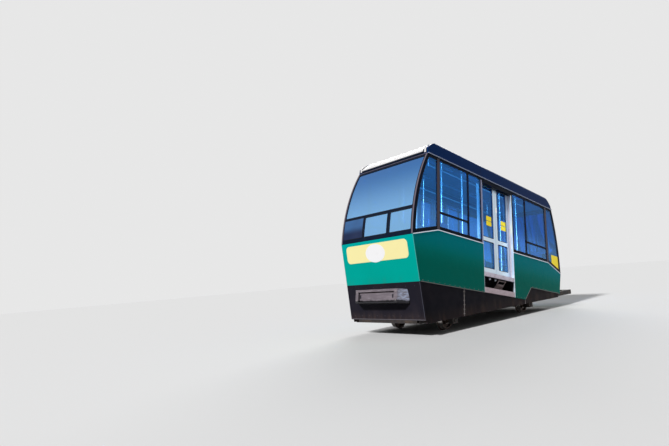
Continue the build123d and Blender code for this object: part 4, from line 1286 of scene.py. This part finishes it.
def leaf_trims(side, end, tag):
    """Nosing, edge cover, pane gaskets, blank stickers and screws of one leaf."""
    body = f"leaf_{tag}"
    outer_edge, meeting_edge, pane_x = leaf_edges(end)
    inward = -1 if end == "front" else 1
    height = (LEAF_Z[0] + 0.006, LEAF_Z[1] - 0.04)
    nosing, cover, stickers = Shape(), Shape(), Shape()
    for y, out in ((LEAF_Y[1], 1), (LEAF_Y[0], -1)):
        nosing.box((meeting_edge, meeting_edge + inward * 0.016),
                   (side * (y - out * 0.001), side * (y + out * 0.004)), height)
    nosing.piece(f"door_nosing_{tag}", ALUMINIUM, "bare_aluminium", body, bevel=0.0015)
    cover.box((outer_edge + inward * 0.002, outer_edge - inward * (LEAF_LAP - 0.002)),
              (side * (LEAF_Y[0] - 0.002), side * (LEAF_Y[1] + 0.002)), height)
    cover.piece(f"door_edge_cover_{tag}", WHITE, "roof_white", body, bevel=0.001)
    paths = []
    for pane_z in ((FOOT_RAIL_Z, MID_RAIL_Z[0]), (MID_RAIL_Z[1], LEAF_Z[1] - TOP_RAIL)):
        for y, out in ((LEAF_Y[1], 1), (LEAF_Y[0], -1)):
            outward = Vector((0, side * out, 0))
            paths.append([(Vector((x, side * y, z)), outward) for x, z in rectangle(pane_x, pane_z)])
    strips(f"door_gaskets_{tag}", paths, 0.012, 0.004, RUBBER, body, corner=0.02, closed=True)
    for z in STICKER_Z:
        side_badge(stickers, side, rounded(STICKER_X[end], z, 0.018), STICKER_Y)
    stickers.piece(f"door_stickers_{tag}", YELLOW, "roof_white", body)
    if end == "rear":
        label = Shape()
        side_badge(label, side, rounded(LABEL_X, LABEL_Z, 0.008), (LEAF_Y[1] - 0.001, LEAF_Y[1] + 0.0018))
        label.piece(f"door_label_{tag}", WHITE_FOIL, "roof_white", body)
    spots = [(Vector((x, side * (LEAF_Y[1] + PROUD), z)), Vector((0, side, 0)))
             for x in (pane_x[0] - 0.030, pane_x[1] + 0.030)
             for z in steps_between(LEAF_Z[0] + 0.05, LEAF_Z[1] - 0.09, 6)]
    screws(f"door_screws_{tag}", spots, 0.005, 0.003, BRIGHT, body)


for leaf in LEAVES:
    leaf_trims(*leaf)


# Pieces: the roof

def roof_seams():
    """Cover strips across the roof with a row of screws each."""
    places = steps_between(*ROOF_SEAM_X, 4)
    paths = [[on_crown(x, y, 0.001) for y in steps_between(-0.805, 0.805, 14)] for x in places]
    strips("roof_seam_covers", paths, 0.045, 0.006, WHITE_ROOF)
    spots = [on_crown(x, y, 0.004) for x in places for y in steps_between(-0.77, 0.77, 10)]
    screws("roof_screws", spots, 0.007, 0.004, BRIGHT)


def shoulder_strips():
    """Navy paint carried from the roof's sides over its shoulders."""
    y = (CANT_INNER_Y + SHOULDER_PAINT_Y) / 2
    paths = []
    for side in SIDES:
        path = []
        for end in ENDS:
            part = []
            for run in steps_between(0.150, ROOF_END_RUN[end], 10):
                point, outward = on_roof_end(end, run, side * y, PROUD)
                if point.z > crown_z(y) + PROUD:
                    point, outward = on_crown(point.x, point.y, PROUD)
                part.append((point, outward))
            path += part if end == "front" else part[::-1]
        paths.append(path)
    strips("shoulder_strips", paths, CANT_INNER_Y - SHOULDER_PAINT_Y, 0.004, NAVY, corner=0.001)


def band_joints():
    """Hairline joints and screws of the navy roof band."""
    paths = [[on_cant(side, x, z) for z in BAND_JOINT_Z] for side in SIDES for x in BAND_JOINT_X]
    strips("band_joints", paths, 0.005, 0.002, RUBBER)
    places = steps_between(0.62, CAR_LENGTH - 0.50, 15)
    spots = [on_cant(side, x, BAND_SCREW_Z, PROUD) for side in SIDES for x in places]
    screws("band_screws", spots, 0.005, 0.003, NAVY)


roof_seams()
shoulder_strips()
band_joints()


# Pieces: more inside

def linings():
    """Linings of the walls and ceiling, and the lamps."""
    walls, ceiling, lamps = Shape(), Shape(), Shape()
    inner = HALF - SIDE_WALL
    end_height = (FLOOR_Z + 0.002, CORNER_Z + 0.05)
    for side in SIDES:
        for x in ((0.20, DOOR_X[0] - 0.07), (DOOR_X[1] + 0.05, CAR_LENGTH - 0.20)):
            walls.box(x, (side * (inner - 0.004), side * (inner + 0.001)), (FLOOR_Z, 0.0))
    for end in ENDS:
        end_band(walls, end, (-0.95, 0.95), end_height, (-END_WALL - 0.005, -END_WALL + 0.001))
    walls.piece("wall_linings", LINING, "desk_plastic", bevel=0.001)
    ceiling.box((0.90, CAR_LENGTH - 0.80), (-0.78, 0.78), (CEILING_Z, CEILING_Z + 0.008))
    ceiling.piece("ceiling_panel", LINING, "roof_white", bevel=0.002)
    for x in LAMP_X:
        for y in (LAMP_Y, -LAMP_Y):
            outline = rounded((x, x + LAMP_LENGTH), (y - LAMP_HALF_WIDTH, y + LAMP_HALF_WIDTH), 0.03)
            lamps.loft([[(a, b, z) for a, b in outline] for z in (CEILING_Z - 0.024, CEILING_Z + 0.001)])
    lamps.piece("ceiling_lamps", OPAL, "roof_white", bevel=0.006)


def grab_rails():
    """Rails under the ceiling with their brackets, and collars on the poles."""
    rails = Shape()
    overhang, knob = 0.50, 0.030
    first, last = POLE_SPOTS[0][0] - overhang, POLE_SPOTS[-1][0] + overhang
    for side in SIDES:
        y = side * GRAB_RAIL_Y
        rails.rod((first, y, GRAB_RAIL_Z), (last, y, GRAB_RAIL_Z), 0.015)
        for x in (first + 0.02, last - 0.02):
            rails.ball((x, y, GRAB_RAIL_Z), knob)
            rails.rod((x, y, GRAB_RAIL_Z), (x, y, CEILING_Z + 0.003), 0.012)
        for x, pole_y in POLE_SPOTS:
            y = side * pole_y
            rails.ball((x, y, GRAB_RAIL_Z), knob)
            for low, high, foot, top in ((FLOOR_Z, FLOOR_Z + 0.012, 0.050, 0.044),
                                         (FLOOR_Z + 0.012, FLOOR_Z + 0.040, 0.026, 0.024),
                                         (CEILING_Z, CEILING_Z - 0.012, 0.050, 0.040)):
                rails.rod((x, y, low), (x, y, high), foot, top, 24)
    rails.piece("grab_rails", POLE, "pole_steel")


def pole_joints():
    """Rounded joint halfway up each pole."""
    shape = Shape()
    for side in SIDES:
        for x, y in POLE_SPOTS:
            shape.ball((x, side * y, POLE_JOINT_Z), 0.034, (1, 1, 1.7))
    shape.piece("pole_joints", POLE, "pole_steel")


def from_end(end, x, y):
    """Level x and y of a place by the lower end, or of its twin by the upper end, turned round."""
    return (x, y) if end == "front" else (CAR_LENGTH - x, -y)


def desk_controls():
    """Panel, knobs, lever and gauges on each desk."""
    panel, knobs, dials = Shape(), Shape(), Shape()
    face = DESK_TOP_Z + 0.012
    for end, uphill in (("front", 1), ("rear", -1)):
        near, far = [from_end(end, *place) for place in zip(DESK_PANEL_X, DESK_PANEL_Y)]
        panel.box(*zip(near, far), (DESK_TOP_Z - 0.001, DESK_TOP_Z + 0.014))
        for offset in KNOBS_Y:
            x, y = from_end(end, KNOBS_X, offset)
            knobs.rod((x, y, face), (x, y, face + 0.014), 0.014, 0.012)
        x, y = from_end(end, *LEVER_PLACE)
        knobs.rod((x, y, face), (x, y, face + 0.018), 0.030, 0.026, 24)
        knobs.rod((x, y, face + 0.016), (x - uphill * 0.03, y, face + 0.108), 0.007)
        knobs.ball((x - uphill * 0.032, y, face + 0.113), 0.018)
        for offset in DIALS_Y:
            x, y = from_end(end, DIALS_X, offset)
            dials.rod((x, y, face), (x, y, face + 0.010), 0.040, 0.038, 28)
    panel.piece("desk_panels", PILLAR, "desk_plastic", bevel=0.003)
    knobs.piece("desk_knobs", RUBBER, "desk_plastic", bevel=0.001)
    dials.piece("desk_dials", WHITE, "desk_plastic", bevel=0.001)


linings()
grab_rails()
pole_joints()
desk_controls()


# Pieces: more running gear

def tread_finish():
    """Bright running faces on the wheels."""
    for end in ENDS:
        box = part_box(f"wheels_{end}")
        middle = (box[0] + box[1]) / 2
        mesh = bpy.data.objects[f"wheels_{end}_finished"].data
        mesh.materials.append(BRIGHT)
        for face in mesh.polygons:
            reach = sqrt((face.center.x - middle.x) ** 2 + (face.center.z - middle.z) ** 2)
            if reach > TREAD_REACH and abs(face.normal.y) < 0.5:
                face.material_index = 1


def gear_bolts():
    """Bolts and caps on the axle boxes, and bolts on the hubs."""
    for end in ENDS:
        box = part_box(f"axle_{end}")
        middle = (box[0] + box[1]) / 2
        caps = Shape()
        box_spots, hub_spots = [], []
        for side in SIDES:
            outward = Vector((0, side, 0))
            for x, z in rectangle((-BOX_BOLT_X, BOX_BOLT_X), (-BOX_BOLT_Z, BOX_BOLT_Z)):
                place = Vector((middle.x + x, side * (BOX_FACE_Y + PROUD), middle.z + z))
                box_spots.append((place, outward))
            for x, z in ellipse((0, 0), HUB_BOLT_CIRCLE, HUB_BOLT_CIRCLE, 6):
                place = Vector((middle.x + x, side * (HUB_FACE_Y + PROUD), middle.z + z))
                hub_spots.append((place, outward))
            cap = [(middle.x, side * (BOX_FACE_Y + out), middle.z) for out in (-0.001, 0.010)]
            caps.rod(*cap, 0.044, 0.038, 28)
        screws(f"box_bolts_{end}", box_spots, 0.012, 0.008, WHEEL, level=False)
        screws(f"hub_bolts_{end}", hub_spots, 0.009, 0.008, BRIGHT, f"wheelset_{end}",
               level=False)
        caps.piece(f"box_caps_{end}", CHASSIS, "chassis_paint", bevel=0.002, level=False)


tread_finish()
gear_bolts()


# Camera, lights and floor

# Where the photo was taken from: a place in level sizes, and the direction of the view
EYE = Vector((-6.415, -6.274, -2.071))
EYE_YAW = 0.8667
EYE_PITCH = 0.2378
EYE_ROLL = 0.0512
IMAGE_WIDTH = 669
FOCAL_PIXELS = 447.48
SENSOR_WIDTH = 36

KEY_DIRECTION = (0.80, 0.06, -0.55)
BACK_DIRECTION = (-0.60, -0.42, -0.45)
INSIDE_DIRECTION = (0.62, 0.70, -0.35)
FLOOR_REACH = 80
FLOOR_COLOR = (0.78, 0.78, 0.78)
FLOOR_LIGHT = (0.27, 0.27, 0.28)
BACKGROUND = (0.80, 0.80, 0.80, 1)
SKY_LIGHT = 0.14


def camera():
    """Camera at the photo's place."""
    forward = Vector((cos(EYE_YAW) * cos(EYE_PITCH), sin(EYE_YAW) * cos(EYE_PITCH), sin(EYE_PITCH)))
    flat_right = Vector((sin(EYE_YAW), -cos(EYE_YAW), 0))
    flat_up = flat_right.cross(forward)
    right = flat_right * cos(EYE_ROLL) + flat_up * sin(EYE_ROLL)
    up = flat_up * cos(EYE_ROLL) - flat_right * sin(EYE_ROLL)
    place = Matrix((right, up, -forward)).transposed().to_4x4()
    place.translation = EYE
    data = bpy.data.cameras.new("camera")
    data.sensor_width = SENSOR_WIDTH
    data.lens = SENSOR_WIDTH * FOCAL_PIXELS / IMAGE_WIDTH
    eye = linked("camera", data)
    eye.matrix_world = LEVEL @ place
    bpy.context.scene.camera = eye


def sun(name, strength, towards, softness):
    """A soft sun lamp that shines in the given direction."""
    data = bpy.data.lights.new(name, "SUN")
    data.energy = strength
    data.angle = softness
    lamp = linked(name, data)
    lamp.matrix_world = Vector(towards).to_track_quat("-Z", "Y").to_matrix().to_4x4()
    return lamp


def inside_light(name, strength, pieces):
    """Daylight that falls on pieces in the glazed cabin, past the roof and the glass."""
    lit = bpy.data.collections.new(name)
    for piece in pieces:
        lit.objects.link(bpy.data.objects[piece])
    linking = sun(name, strength, INSIDE_DIRECTION, 0.3).light_linking
    linking.receiver_collection = lit
    linking.blocker_collection = lit


def world():
    """Even light, with a pale background where the camera, gloss or glass looks at it."""
    sky = bpy.data.worlds.new("studio")
    bpy.context.scene.world = sky
    sky.use_nodes = True
    tree = sky.node_tree
    light = tree.nodes["Background"]
    light.inputs["Color"].default_value = (1, 1, 1, 1)
    light.inputs["Strength"].default_value = SKY_LIGHT
    shown = add_node(tree, "ShaderNodeBackground", {"Color": BACKGROUND})
    end_in_mix(tree, shown_ray(tree), light.outputs["Background"], shown.outputs["Background"],
               "World Output")


def studio_floor():
    """Pale floor, wide enough to fill every view."""
    mesh = bpy.data.meshes.new("studio_floor")
    across = (-FLOOR_REACH, FLOOR_REACH)
    mesh.from_pydata([(x, y, 0) for x, y in rectangle(across, across)], [], [(0, 1, 2, 3)])
    ground = linked("studio_floor", mesh)
    look = Finish("pale studio floor", FLOOR_COLOR, 0.9, specular=0.0)
    mesh.materials.append(look.material)
    dim = add_node(look.tree, "ShaderNodeBsdfDiffuse", {"Color": (*FLOOR_LIGHT, 1)})
    end_in_mix(look.tree, shown_ray(look.tree), dim.outputs["BSDF"], look.shader.outputs["BSDF"])


camera()
sun("key", 3.3, KEY_DIRECTION, 0.10)
sun("back", 1.5, BACK_DIRECTION, 0.6)
inside_light("light_on_poles", 5.0, ["stanchions_finished", "grab_rails", "pole_joints"]
             + [f"door_edge_cover_{tag}" for _, _, tag in LEAVES])
inside_light("light_on_seats", 1.8, ["benches_finished", "driver_desks_finished", "desk_panels", "desk_knobs",
                                     "desk_dials", "wall_linings"])
world()
studio_floor()

view = bpy.context.scene.view_settings
view.view_transform = "Standard"
